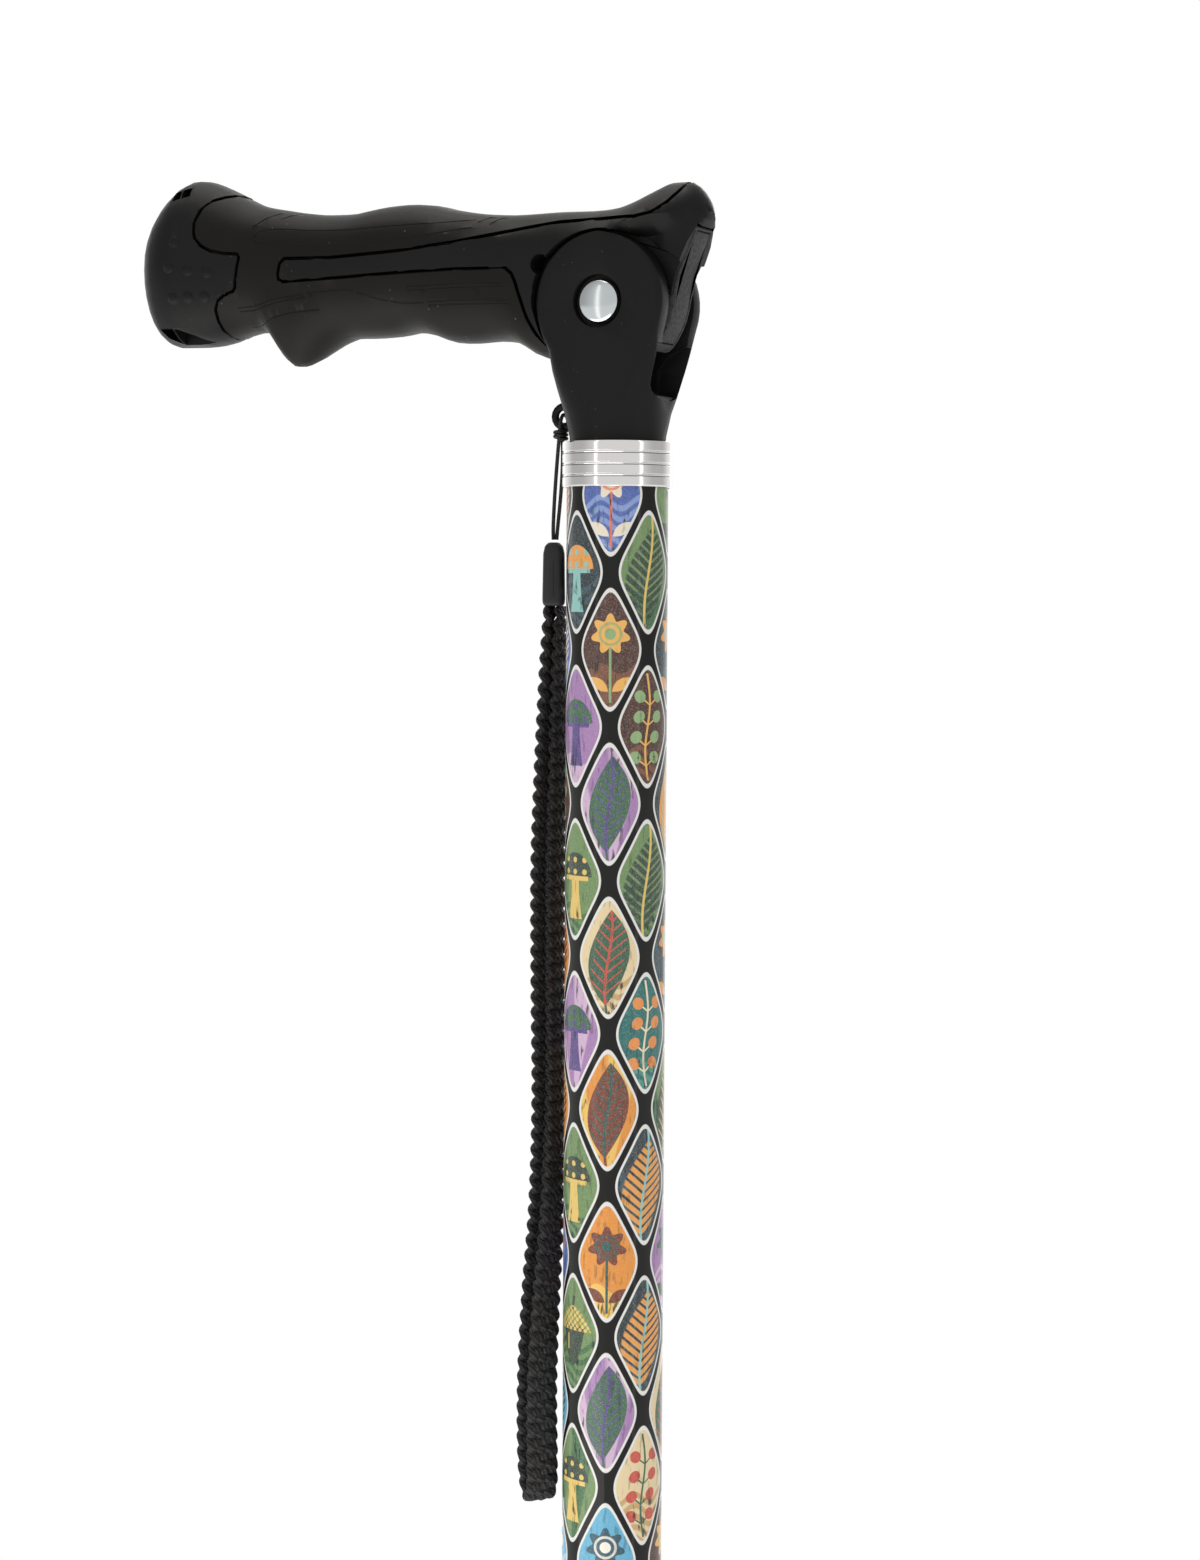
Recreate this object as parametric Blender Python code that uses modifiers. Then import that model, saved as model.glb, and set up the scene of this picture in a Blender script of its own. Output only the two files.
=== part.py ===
"""Convertible hiking staff: a cane handle that swings upright on a fork, over a two-piece telescopic shaft.

World frame in metres: +Z up the shaft, origin at the middle of the ferrule's sole, grip towards -X,
visible side -Y. The handle and the fork are drawn around the pivot bolt, and the shaft is stacked
up from the sole.
"""

import math

import bmesh
import bpy
import numpy as np
from mathutils import Matrix, Vector

MM = 0.001

# General clearances
SEAT = 0.30 * MM            # between pieces that rest on or in each other
SLIDE = 0.40 * MM           # around pieces that slide or turn
SEGMENTS = 36               # sides of the big round pieces
SMALL_SEGMENTS = 20         # sides of pins, bolts and bushes

# Shaft tubes
TUBE_OUTER_R = 11.11 * MM   # 7/8 inch upper tube
TUBE_WALL = 1.20 * MM
UPPER_TUBE_LENGTH = 550.0 * MM
TUBE_PLAY = 0.385 * MM      # between the tubes, which leaves a 3/4 inch lower tube
LOWER_TUBE_LENGTH = 480.0 * MM
HOLE_PITCH = 25.4 * MM
HOLES_BELOW_REST = 4
HOLES_ABOVE_REST = 2
LOWEST_HOLE_TO_TUBE_END = 30.0 * MM
BUTTON_BELOW_TUBE_TOP = 70.0 * MM

# Ferrule and its steel washer
FERRULE_BASE_R = 18.0 * MM
FERRULE_NECK_R = 12.7 * MM
FERRULE_HEIGHT = 42.0 * MM
FERRULE_FLOOR = 9.0 * MM
WASHER_THICKNESS = 1.2 * MM
TREAD_DEPTH = 1.5 * MM
FERRULE_SIDES = 28

# Snap button and its leaf spring
BUTTON_R = 2.9 * MM
BUTTON_PROUD = 1.6 * MM
LEAF_THICKNESS = 0.6 * MM
LEAF_WIDTH = 7.0 * MM
LEAF_LEG = 26.0 * MM
GUIDE_STUB = 10.0 * MM
GUIDE_HEAD = 4.0 * MM

# Anti-rattle ring at the upper tube's lower end
SLEEVE_WALL = 1.7 * MM
SLEEVE_GRIP_LENGTH = 16.0 * MM
SLEEVE_NOSE_LENGTH = 9.0 * MM
BUSH_HEIGHT = 5.0 * MM
RING_WALL = 1.9 * MM
RING_LIP = 2.0 * MM
RING_FLUTES = 12

# Collar
COLLAR_PROUD = 0.99 * MM    # over the upper tube's outside
COLLAR_HEIGHT = 10.0 * MM
COLLAR_LIP = 1.2 * MM
COLLAR_GROOVES = 3
COLLAR_GROOVE_DEPTH = 0.35 * MM

# Fork, drawn around the pivot
PIVOT_ABOVE_COLLAR = 29.65 * MM
CHEEK_R = 14.9 * MM
FORK_PROUD = 0.19 * MM      # over the upper tube's outside
SLOT_HALF_WIDTH = 6.9 * MM
NECK_STEP = 0.51 * MM       # of the neck's foot under the upper tube's outside
SPIGOT_LENGTH = 30.0 * MM
SPIGOT_BORE_R = 6.5 * MM
COUNTERBORE_R = 5.7 * MM
COUNTERBORE_DEPTH = 2.2 * MM
TAIL_CAVITY_R = 17.9 * MM
SLOT_LEFT_FLOOR = -12.25 * MM
LUG_X = -12.9 * MM
LUG_Z = -23.9 * MM
LUG_RING_R = 2.2 * MM
LUG_WIRE_R = 0.9 * MM
SPIGOT_PIN_R = 1.5 * MM
SPIGOT_PIN_BELOW_SHOULDER = 5.0 * MM

# Pivot hardware, along Y
BOLT_HEAD_R = 4.7 * MM
BOLT_HEAD_EDGE = 0.5 * MM
BOLT_DOME = 1.4 * MM
BOLT_SHANK_R = 2.5 * MM
HEX_CORNER_R = 4.2 * MM
BUSH_WALL = 0.75 * MM
DISC_R = 10.4 * MM
DISC_THICKNESS = 3.0 * MM
THRUST_WASHER = 0.40 * MM
HUB_R = 10.4 * MM
NOTCH_ANGLE = -38.0         # degrees in the side view, where the lever's tooth sits
NOTCH_DEPTH = 1.6 * MM
HANDLE_TURN = 90.0          # degrees from cane to staff

# Latch lever
LEVER_HALF_WIDTH = 4.4 * MM
LEVER_PIN_X = 13.2 * MM
LEVER_PIN_Z = 2.6 * MM
LEVER_PIN_R = 0.8 * MM
LEVER_BOSS_R = 2.2 * MM
EAR_HALF_WIDTH = 5.7 * MM
TOOTH_HALF_WIDTH = 1.2 * MM
TOOTH_HALF_THICKNESS = 0.7 * MM
NOTCH_RIB = 0.75 * MM       # steel left beside a notch, which the tooth has to be lifted over
PAD_THICKNESS = 0.7 * MM
PAD_INSET = 0.4 * MM
SPRING_WIRE_R = 0.2 * MM
SPRING_COIL_R = 1.5 * MM
SPRING_TURNS = 3

# Handle
SKIN = 2.4 * MM             # soft skin over the hard core
PLATE_HALF_WIDTH = 6.3 * MM # tongue that turns between the cheeks
CAP_SCREW_R = 1.5 * MM
CAP_SCREW_HEAD_R = 2.9 * MM
CAP_SCREW_LENGTH = 20.0 * MM
CAP_SCREW_SEAT_X = -111.5 * MM
CAP_SCREW_Z = 12.1 * MM
SCOOP_INNER_Y = 3.6 * MM
LANYARD_INNER_Y = 3.9 * MM
EYE_X = -13.3 * MM          # small round recess beside the near cheek
EYE_Z = 8.2 * MM
EYE_R = 2.0 * MM

# Wrist strap
BRAID_WIDTH = 7.3 * MM
BRAID_THICKNESS = 2.9 * MM
CORD_R = 0.5 * MM
CRIMP_LENGTH = 14.0 * MM
CRIMP_WIDTH = 8.7 * MM
CRIMP_DEPTH = 5.0 * MM
CRIMP_TURN = 24.5           # degrees about Z

# Handle side view in millimetres around the pivot: (x, z)
TOP_LINE = [(-118.0, 10.5), (-117.3, 14.8), (-115.6, 19.8), (-113.2, 24.2), (-110.6, 27.6), (-108.2, 29.9),
            (-106.2, 31.2), (-104.3, 31.7), (-101.6, 31.2), (-97.2, 29.4), (-92.3, 26.9), (-87.6, 25.1),
            (-82.4, 24.1), (-77.1, 23.2), (-69.3, 22.4), (-64.0, 22.3), (-59.0, 23.0), (-54.0, 23.6),
            (-49.0, 23.8), (-43.8, 23.4), (-38.8, 22.2), (-33.8, 21.3), (-28.9, 20.7), (-22.0, 20.3),
            (-12.0, 20.5), (-4.6, 20.4), (0.2, 20.8), (4.9, 22.3), (9.7, 24.5), (13.6, 25.8),
            (16.6, 25.8), (19.0, 24.7), (20.8, 22.5), (21.8, 20.4), (22.1, 19.6)]
BOTTOM_LINE = [(-118.0, 10.5), (-117.7, 5.8), (-117.0, 1.6), (-115.6, -2.6), (-113.5, -5.2), (-111.0, -6.3),
               (-103.6, -6.4), (-98.3, -5.6), (-93.0, -4.0), (-89.6, -3.5), (-87.5, -3.5), (-85.6, -4.8),
               (-84.3, -6.9), (-82.9, -9.4), (-80.6, -11.3), (-78.0, -11.4), (-74.8, -10.3), (-71.6, -8.4),
               (-68.2, -6.6), (-64.5, -5.5), (-59.0, -5.6), (-54.0, -5.4), (-49.0, -4.6), (-45.5, -5.0),
               (-41.2, -6.5),
               (-37.5, -7.3), (-33.7, -7.4), (-28.8, -7.1), (-23.8, -7.5), (-18.9, -9.9), (-16.0, -11.6),
               (-10.0, -11.8), (22.1, -11.8)]
SIDE_LINE = [(-118.0, 0.4), (-117.4, 4.2), (-116.4, 7.6), (-114.6, 10.9), (-112.4, 13.2), (-110.0, 14.6),
             (-106.3, 15.4), (-98.3, 14.6), (-90.0, 13.2), (-80.0, 12.7), (-66.0, 13.2), (-50.0, 13.8),
             (-34.0, 13.2), (-22.0, 12.4), (-12.0, 12.1), (0.0, 12.0), (4.0, 11.8), (8.0, 11.3),
             (12.0, 10.4), (15.0, 9.3), (18.0, 7.6), (20.0, 5.5), (21.3, 3.3), (22.1, 1.0)]
SPINE_LINE = [(-118.0, 10.5), (-106.0, 12.1), (-90.0, 10.9), (-70.0, 9.9), (-50.0, 9.9), (-30.0, 9.2),
              (-14.0, 9.4), (0.0, 13.4), (6.0, 16.4), (12.0, 18.0), (18.0, 18.4), (22.1, 18.4)]
LOWER_ROUNDNESS = [(-118.0, 2.0), (-100.0, 2.1), (-90.0, 2.0), (-80.0, 1.55), (-70.0, 1.9), (-50.0, 2.1),
                   (-30.0, 2.3), (-18.0, 2.8), (22.1, 3.0)]
UPPER_ROUNDNESS = [(-118.0, 2.3), (-12.0, 2.3), (-5.0, 2.1), (1.0, 1.7), (6.0, 1.45), (11.0, 1.43),
                   (16.0, 1.55), (22.1, 1.9)]
FLANK_FOOT = 7.4            # millimetres, foot of the hump's flanks, inside the tongue
FLANK_BLEND = (-2.0, 7.0)   # millimetres, from the grip's sections to the hump's
FLANK_HOLD = [(5.0, 0.3), (12.0, 1.0)]      # share of the flank's height over which it draws in, along x
GRIP_STATIONS = [(-118.0, -111.0, 0.875), (-111.0, -92.0, 1.9), (-92.0, -78.0, 1.0), (-78.0, -68.0, 1.43),
                 (-68.0, -2.0, 2.64), (-2.0, 10.0, 1.71), (10.0, 22.1, 1.0)]     # from, to and spacing
GRIP_SIDES = 28
CORE_SPACING = 3.75         # millimetres between the core's cross sections
CORE_SIDES = 18
CORE_LOWEST = -6.0          # millimetres, skin included; the finger hook below it is all soft
CORE_START = -99.4
CORE_END = -8.0

# Outlines seen from the side, in millimetres around the pivot
WINDOW = [(-77.2, 6.6), (-78.3, 7.1), (-78.5, 8.3), (-77.8, 10.9), (-76.6, 12.0), (-70.0, 11.8),
          (-64.8, 11.7), (-52.2, 12.2), (-47.0, 12.5), (-39.8, 13.3), (-34.0, 13.95), (-27.5, 15.0),
          (-18.0, 16.5), (-10.0, 17.6), (1.2, 17.9), (8.5, 17.8),
          (12.3, 18.8),
          (14.7, 20.8), (16.2, 23.2), (17.0, 25.6), (17.5, 32.0), (40.0, 32.0), (40.0, -30.0),
          (-10.6, -30.0),
          (-10.6, -13.0), (-11.6, -11.0), (-13.6, -8.8), (-15.4, -6.6), (-17.0, -3.4), (-18.5, 1.6),
          (-19.4, 4.6), (-20.2, 6.4), (-21.6, 7.6), (-34.0, 7.7), (-47.2, 7.4), (-62.0, 6.9)]
CAP_SEAM = [(-91.6, 45.0), (-91.6, 28.4), (-94.2, 27.4), (-96.8, 25.9), (-98.6, 23.6), (-99.4, 20.8),
            (-99.3, 18.7),
            (-98.7, 16.9), (-97.2, 15.4), (-95.0, 14.3), (-92.2, 13.7), (-88.5, 13.4), (-88.0, 12.5),
            (-89.5, 5.8),
            (-90.2, 4.9), (-92.6, 4.1), (-94.4, 2.9), (-95.2, 1.2), (-95.6, -0.8), (-95.8, -3.0),
            (-95.6, -5.2), (-95.2, -30.0), (-140.0, -30.0), (-140.0, 45.0)]
LEVER_OUTER = [(20.3, 15.4), (19.8, 14.1), (18.0, 9.9), (16.25, 5.4), (15.55, 2.0), (15.1, -0.8),
               (14.35, -3.6),
               (13.4, -5.8), (12.4, -7.6), (11.2, -9.2), (10.3, -10.0), (9.4, -10.3), (8.7, -9.8)]
LEVER_INNER = [(8.6, -9.0), (9.6, -7.4), (10.6, -5.6), (11.3, -3.6), (11.9, -0.6), (12.4, 2.4), (13.4, 5.8),
               (15.2, 10.2), (16.8, 14.0), (17.2, 15.0), (18.2, 15.9), (19.9, 15.9)]
SPRING_SEAT_Z = 12.0 * MM
SPRING_POCKET_X = 10.4 * MM
LEVER_WALL = [(12.0, 6.6), (12.8, 10.0), (13.8, 14.6), (14.4, 16.7), (16.0, 17.4), (17.3, 17.3),
              (18.7, 16.9), (19.7, 16.5), (20.7, 16.0)]
HUMP_BACK = [(24.0, 22.4), (22.3, 19.6), (21.2, 17.3), (20.4, 15.4), (19.2, 12.5), (18.1, 9.8), (17.3, 8.1),
             (16.3, 6.2), (15.7, 4.4), (15.5, 2.6)]
HUMP_EDGE = [(7.0, 12.6), (10.6, 11.5), (14.4, 10.2), (16.4, 8.9), (17.6, 7.8)]
SLOT_FLOOR = [(1.5, -18.3), (9.2, -18.3), (12.6, -19.7), (16.0, -21.1)]
THROAT_FLOOR = [(9.0, -18.3), (10.6, -20.0), (11.7, -22.4), (12.6, -24.6)]
THROAT_BACK = [(12.4, -9.0), (8.6, -11.0), (6.4, -14.0)]
THROAT_BOWL = [(2.4, -20.9), (4.6, -20.4), (6.3, -19.8), (7.3, -19.1), (8.0, -18.0), (8.35, -16.6),
               (8.6, -15.0), (8.8, -12.8), (9.0, -10.0), (9.0, 20.0)]      # half its outline, from behind
WING_START = (11.0, 14.0)   # millimetres, where the hump's flanks spread into wings beside the lever

# Neck of the fork in millimetres: (z, reach to the left, to the right, half width in y, corner radius)
NECK_SECTIONS = [(-6.6, 13.7, 13.7, 11.3, 1.4), (-10.1, 12.4, 13.2, 11.3, 2.6),
                 (-14.6, 12.2, 12.5, 11.1, 4.2), (-18.6, 11.8, 12.0, 10.9, 6.2),
                 (-23.6, 11.1, 11.1, 10.75, 8.8)]

# Height stack, up from the sole
LOWER_TUBE_BOTTOM = FERRULE_FLOOR + WASHER_THICKNESS + 2 * SEAT
LOWER_TUBE_TOP = LOWER_TUBE_BOTTOM + LOWER_TUBE_LENGTH
BUTTON_Z = LOWER_TUBE_TOP - BUTTON_BELOW_TUBE_TOP
UPPER_TUBE_BOTTOM = BUTTON_Z - HOLES_BELOW_REST * HOLE_PITCH - LOWEST_HOLE_TO_TUBE_END
UPPER_TUBE_TOP = UPPER_TUBE_BOTTOM + UPPER_TUBE_LENGTH
COLLAR_TOP = UPPER_TUBE_TOP + SEAT + COLLAR_LIP
SHOULDER_Z = UPPER_TUBE_TOP + SEAT
PIVOT_Z = COLLAR_TOP + PIVOT_ABOVE_COLLAR
SHOULDER_BELOW_PIVOT = SHOULDER_Z - PIVOT_Z
TUBE_INNER_R = TUBE_OUTER_R - TUBE_WALL
LOWER_OUTER_R = TUBE_INNER_R - TUBE_PLAY
LOWER_INNER_R = LOWER_OUTER_R - TUBE_WALL
COLLAR_OUTER_R = TUBE_OUTER_R + COLLAR_PROUD
FORK_HALF_WIDTH = TUBE_OUTER_R + FORK_PROUD
NECK_R = TUBE_OUTER_R - NECK_STEP
HEAD_SEAT_Y = FORK_HALF_WIDTH - COUNTERBORE_DEPTH
STRAP_TOP = PIVOT_Z - 51.5 * MM
WING_HALF_WIDTH = PLATE_HALF_WIDTH + 0.6 * MM

# Strap routes in millimetres: sideways in the plane of the crimp, depth across it, height from the pivot and
# the braid's twist in degrees. The loop's route is plain x, y and height.
STRAP_ROUTE = [(-14.85, 6.2, -65.95, 8.0), (-14.95, 6.2, -70.6, 12.0), (-15.3, 6.2, -82.6, 20.0),
               (-16.0, 6.2, -103.6, 27.0), (-16.6, 6.2, -121.6, 27.0), (-16.5, 6.2, -148.6, 27.0),
               (-16.0, 6.1, -175.6, 30.0), (-16.3, 6.0, -198.6, 38.0), (-17.4, 5.9, -218.6, 50.0),
               (-18.0, 6.0, -238.6, 62.0), (-17.8, 5.9, -254.6, 68.0), (-17.2, 5.2, -261.1, 70.0),
               (-16.4, 3.6, -263.8, 71.0), (-15.7, 1.9, -261.6, 72.0), (-15.6, 0.9, -255.6, 72.0),
               (-15.7, 0.6, -238.6, 66.0), (-14.8, 1.3, -218.6, 54.0), (-13.5, 3.0, -198.6, 40.0),
               (-12.8, 5.0, -175.6, 30.0), (-12.8, 5.8, -148.6, 27.0), (-12.9, 6.1, -121.6, 27.0),
               (-12.5, 6.2, -103.6, 27.0), (-12.2, 6.2, -82.6, 20.0), (-12.2, 6.2, -70.6, 12.0),
               (-12.25, 6.2, -65.95, 8.0)]
LOOP_ROUTE = [(-14.95, 0.55, -50.9), (-14.9, 0.60, -48.65), (-14.5, 0.70, -42.65), (-14.1, 0.72, -36.65),
              (-13.85, 0.66, -31.65), (-13.75, 0.70, -29.05), (-13.4, 1.35, -27.25), (-13.05, 1.85, -25.85),
              (-12.9, 1.75, -24.65), (-12.9, 1.0, -23.75), (-12.9, 0.0, -23.5), (-12.9, -1.0, -23.75),
              (-12.9, -1.75, -24.65), (-13.05, -1.85, -25.85), (-13.4, -1.35, -27.25),
              (-13.75, -0.70, -29.05),
              (-13.85, -0.66, -31.65), (-14.1, -0.72, -36.65), (-14.5, -0.70, -42.65),
              (-14.9, -0.60, -48.65), (-14.95, -0.55, -50.9)]
STRAP_POINTS = 58
LOOP_POINTS = 40
HITCH_X = -13.75 * MM
HITCH_Z = -28.6 * MM
HITCH_WIRE_R = 0.42 * MM


def clear_scene():
    """Removes whatever the start-up file holds."""
    for old in list(bpy.data.objects):
        bpy.data.objects.remove(old, do_unlink=True)


def new_collection(name):
    made = bpy.data.collections.new(name)
    bpy.context.scene.collection.children.link(made)
    return made


clear_scene()
PARTS = new_collection("hiking_staff")
CUTTERS = new_collection("cutters")


def finish(name, colour, roughness, metallic=0.0):
    """A plain material for one kind of surface."""
    made = bpy.data.materials.new(name)
    made.use_nodes = True
    shader = made.node_tree.nodes["Principled BSDF"]
    shader.inputs["Base Color"].default_value = (*colour, 1.0)
    shader.inputs["Roughness"].default_value = roughness
    shader.inputs["Metallic"].default_value = metallic
    return made


SOFT_BLACK = finish("soft_grip", (0.022, 0.021, 0.020), 0.55)
HARD_BLACK = finish("hard_nylon", (0.018, 0.018, 0.018), 0.45)
LEVER_GREY = finish("lever_grey", (0.045, 0.045, 0.047), 0.6)
CHROME = finish("chrome", (0.72, 0.75, 0.77), 0.12, 1.0)
STEEL = finish("steel", (0.55, 0.56, 0.58), 0.3, 1.0)
BRONZE = finish("bronze", (0.45, 0.30, 0.16), 0.4, 1.0)
ALUMINIUM = finish("ribbed_aluminium", (0.78, 0.78, 0.78), 0.28, 1.0)
PRINT = finish("printed_tube", (0.10, 0.14, 0.14), 0.18, 0.0)
DARK_TUBE = finish("anodised_tube", (0.03, 0.03, 0.032), 0.35, 0.9)
RUBBER = finish("rubber", (0.02, 0.02, 0.02), 0.8)
NYLON = finish("nylon", (0.03, 0.03, 0.03), 0.5)
BRAID = finish("braid", (0.014, 0.013, 0.013), 0.85)


def add_empty(name, place):
    """The frame that a group of pieces is drawn in and turns about."""
    made = bpy.data.objects.new(name, None)
    made.location = place
    PARTS.objects.link(made)
    return made


def add_object(name, mesh, material=None, parent=None, cutter=False):
    """Links a mesh as a part, or as a cutter that only booleans read."""
    made = bpy.data.objects.new(name, mesh)
    (CUTTERS if cutter else PARTS).objects.link(made)
    if cutter:
        made.hide_render = True
        made.display_type = "WIRE"
    if material:
        mesh.materials.append(material)
    if parent:
        made.parent = parent
    return made


def smooth_shade(thing, degrees=35.0):
    thing.data.shade_smooth()
    thing.data.set_sharp_from_angle(angle=math.radians(degrees))


def boolean(thing, other, operation):
    step = thing.modifiers.new(f"{operation.lower()} {other.name}", "BOOLEAN")
    step.object = other
    step.operation = operation
    return step


def cut(thing, *cutters):
    for other in cutters:
        boolean(thing, other, "DIFFERENCE")


def turned(name, profile, material=None, parent=None, closed=False, cutter=False, sides=SEGMENTS):
    """A solid of revolution about local Z; the profile (r, z) runs down its outer side, top to bottom."""
    made = bmesh.new()
    corners = [made.verts.new((r, 0.0, z)) for r, z in profile]
    for a, b in zip(corners, corners[1:]):
        made.edges.new((a, b))
    if closed:
        made.edges.new((corners[-1], corners[0]))
    mesh = bpy.data.meshes.new(name)
    made.to_mesh(mesh)
    made.free()
    thing = add_object(name, mesh, material, parent, cutter)
    spin = thing.modifiers.new("turn", "SCREW")
    spin.axis = "Z"
    spin.steps = sides
    spin.render_steps = sides
    spin.use_merge_vertices = True
    spin.merge_threshold = 0.000005
    spin.use_smooth_shade = True
    return thing


def rod(radius, low, high):
    return [(0.0, high), (radius, high), (radius, low), (0.0, low)]


def pipe(inner, outer, low, high):
    return [(inner, high), (outer, high), (outer, low), (inner, low)]


def joined(name, things, material=None, parent=None, cutter=False):
    """One object from the evaluated meshes of several that don't touch; the sources are removed."""
    bpy.context.view_layer.update()
    graph = bpy.context.evaluated_depsgraph_get()
    made = bmesh.new()
    for thing in things:
        mesh = bpy.data.meshes.new_from_object(thing.evaluated_get(graph))
        mesh.transform(thing.matrix_local)
        made.from_mesh(mesh)
        bpy.data.meshes.remove(mesh)
    mesh = bpy.data.meshes.new(name)
    made.to_mesh(mesh)
    made.free()
    for thing in things:
        bpy.data.objects.remove(thing, do_unlink=True)
    return add_object(name, mesh, material, parent, cutter)


def baked(thing):
    """The same object with its curve or modifiers made into a welded mesh."""
    bpy.context.view_layer.update()
    graph = bpy.context.evaluated_depsgraph_get()
    mesh = bpy.data.meshes.new_from_object(thing.evaluated_get(graph))
    made = bmesh.new()
    made.from_mesh(mesh)
    bmesh.ops.remove_doubles(made, verts=made.verts, dist=0.000002)
    bmesh.ops.recalc_face_normals(made, faces=made.faces)
    made.to_mesh(mesh)
    made.free()
    name, parent, place = thing.name, thing.parent, thing.matrix_local.copy()
    collection = thing.users_collection[0]
    bpy.data.objects.remove(thing, do_unlink=True)
    new = bpy.data.objects.new(name, mesh)
    collection.objects.link(new)
    new.parent = parent
    new.matrix_local = place
    if collection is CUTTERS:
        new.hide_render = True
        new.display_type = "WIRE"
    return new


def prism(name, outline, low_y, high_y, material=None, parent=None, cutter=False, plane="XZ"):
    """A flat outline in millimetres, extruded across the staff; plane YZ stands it along X instead."""
    curve = bpy.data.curves.new(name, "CURVE")
    curve.dimensions = "2D"
    curve.fill_mode = "BOTH"
    curve.extrude = (high_y - low_y) / 2
    if material:
        curve.materials.append(material)
    line = curve.splines.new("POLY")
    line.points.add(len(outline) - 1)
    for point, (x, z) in zip(line.points, outline):
        point.co = (x * MM, z * MM, 0.0, 1.0)
    line.use_cyclic_u = True
    thing = bpy.data.objects.new(name, curve)
    (CUTTERS if cutter else PARTS).objects.link(thing)
    middle = (low_y + high_y) / 2
    if plane == "XZ":
        thing.matrix_local = Matrix.Translation((0, middle, 0)) @ Matrix.Rotation(math.pi / 2, 4, "X")
    else:
        thing.matrix_local = (Matrix.Translation((middle, 0, 0)) @ Matrix.Rotation(math.pi / 2, 4, "Z")
                              @ Matrix.Rotation(math.pi / 2, 4, "X"))
    thing.parent = parent
    return baked(thing)


def swing(thing, degrees):
    """Turns a piece about its parent's Y axis, anticlockwise in the side view."""
    bpy.context.view_layer.update()
    thing.matrix_local = Matrix.Rotation(math.radians(-degrees), 4, "Y") @ thing.matrix_local


def hang(thing, axis):
    """Moves a piece onto the empty that it turns about, and keeps its place."""
    bpy.context.view_layer.update()
    place = thing.matrix_world.copy()
    thing.parent = axis
    thing.matrix_world = place


def arc(radius, start, end, steps, centre=(0.0, 0.0)):
    """Points in millimetres along an arc, angles in degrees."""
    return [(centre[0] + radius * math.cos(math.radians(start + (end - start) * i / steps)),
             centre[1] + radius * math.sin(math.radians(start + (end - start) * i / steps)))
            for i in range(steps + 1)]


def grown(outline, by):
    """A closed outline moved outwards by a distance, millimetres."""
    area = sum(a[0] * b[1] - b[0] * a[1] for a, b in zip(outline, outline[1:] + outline[:1]))
    sign = 1.0 if area > 0 else -1.0
    result = []
    count = len(outline)
    for i in range(count):
        before, here, after = (Vector(outline[i - 1]), Vector(outline[i]), Vector(outline[(i + 1) % count]))
        first, second = (here - before).normalized(), (after - here).normalized()
        normal = Vector((first.y + second.y, -first.x - second.x)).normalized()
        stretch = max(0.4, normal.dot(Vector((first.y, -first.x))))
        result.append(tuple(here + normal * (sign * by / stretch)))
    return result


def along(points, x):
    """A smooth curve through hand-placed points (x, value), read at x."""
    xs = np.array([p[0] for p in points])
    values = np.array([p[1] for p in points])
    steps = np.diff(values) / np.diff(xs)
    slopes = np.concatenate([[steps[0]], np.zeros(len(xs) - 2), [steps[-1]]])
    for i in range(1, len(xs) - 1):
        if steps[i - 1] * steps[i] > 0:
            slopes[i] = 2 * steps[i - 1] * steps[i] / (steps[i - 1] + steps[i])
    i = int(np.clip(np.searchsorted(xs, x) - 1, 0, len(xs) - 2))
    width = xs[i + 1] - xs[i]
    t = (x - xs[i]) / width
    return float(values[i] * (1 + 2 * t) * (1 - t) ** 2 + slopes[i] * width * t * (1 - t) ** 2
                 + values[i + 1] * t * t * (3 - 2 * t) - slopes[i + 1] * width * t * t * (1 - t))


def loft(name, rings, material=None, parent=None, cutter=False, triangles=False):
    """Bridges rings of equal length into one closed body."""
    made = bmesh.new()
    rows = [[made.verts.new(p) for p in ring] for ring in rings]
    count = len(rows[0])
    for low, high in zip(rows, rows[1:]):
        for i in range(count):
            made.faces.new((low[i], low[(i + 1) % count], high[(i + 1) % count], high[i]))
    made.faces.new(rows[0])
    made.faces.new(rows[-1])
    bmesh.ops.recalc_face_normals(made, faces=made.faces)
    if triangles:
        bmesh.ops.triangulate(made, faces=made.faces)
    mesh = bpy.data.meshes.new(name)
    made.to_mesh(mesh)
    made.free()
    thing = add_object(name, mesh, material, parent, cutter)
    smooth_shade(thing)
    return thing


def ease(value):
    value = min(max(value, 0.0), 1.0)
    return value * value * (3 - 2 * value)


def sweep_top(x):
    """Height above the pivot that the fork's neck reaches at x with the handle upright, millimetres."""
    reach = [(0.0, CHEEK_R / MM)] + [(-z, right) for z, _, right, _, _ in NECK_SECTIONS]
    return along(reach, min(max(x, 0.0), 22.0)) + SLIDE / MM


def flank_point(x, share, side, spine):
    """A point of the hump's lower half ring: down its flank, then in under it; share runs 0 to 1."""
    spread = ease((x - WING_START[0]) / (WING_START[1] - WING_START[0]))
    plate = PLATE_HALF_WIDTH / MM + 0.05
    foot = min(plate + (WING_HALF_WIDTH / MM - plate) * spread, side)
    drop = min(share / 0.75, 1.0)
    z = spine + (FLANK_FOOT - spine) * drop
    low = sweep_top(x)
    y = foot + (side - foot) * ease((z - low) / max((spine - low) * along(FLANK_HOLD, x), 0.5))
    return y * (1.0 - max(share - 0.75, 0.0) / 0.25), z


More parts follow.
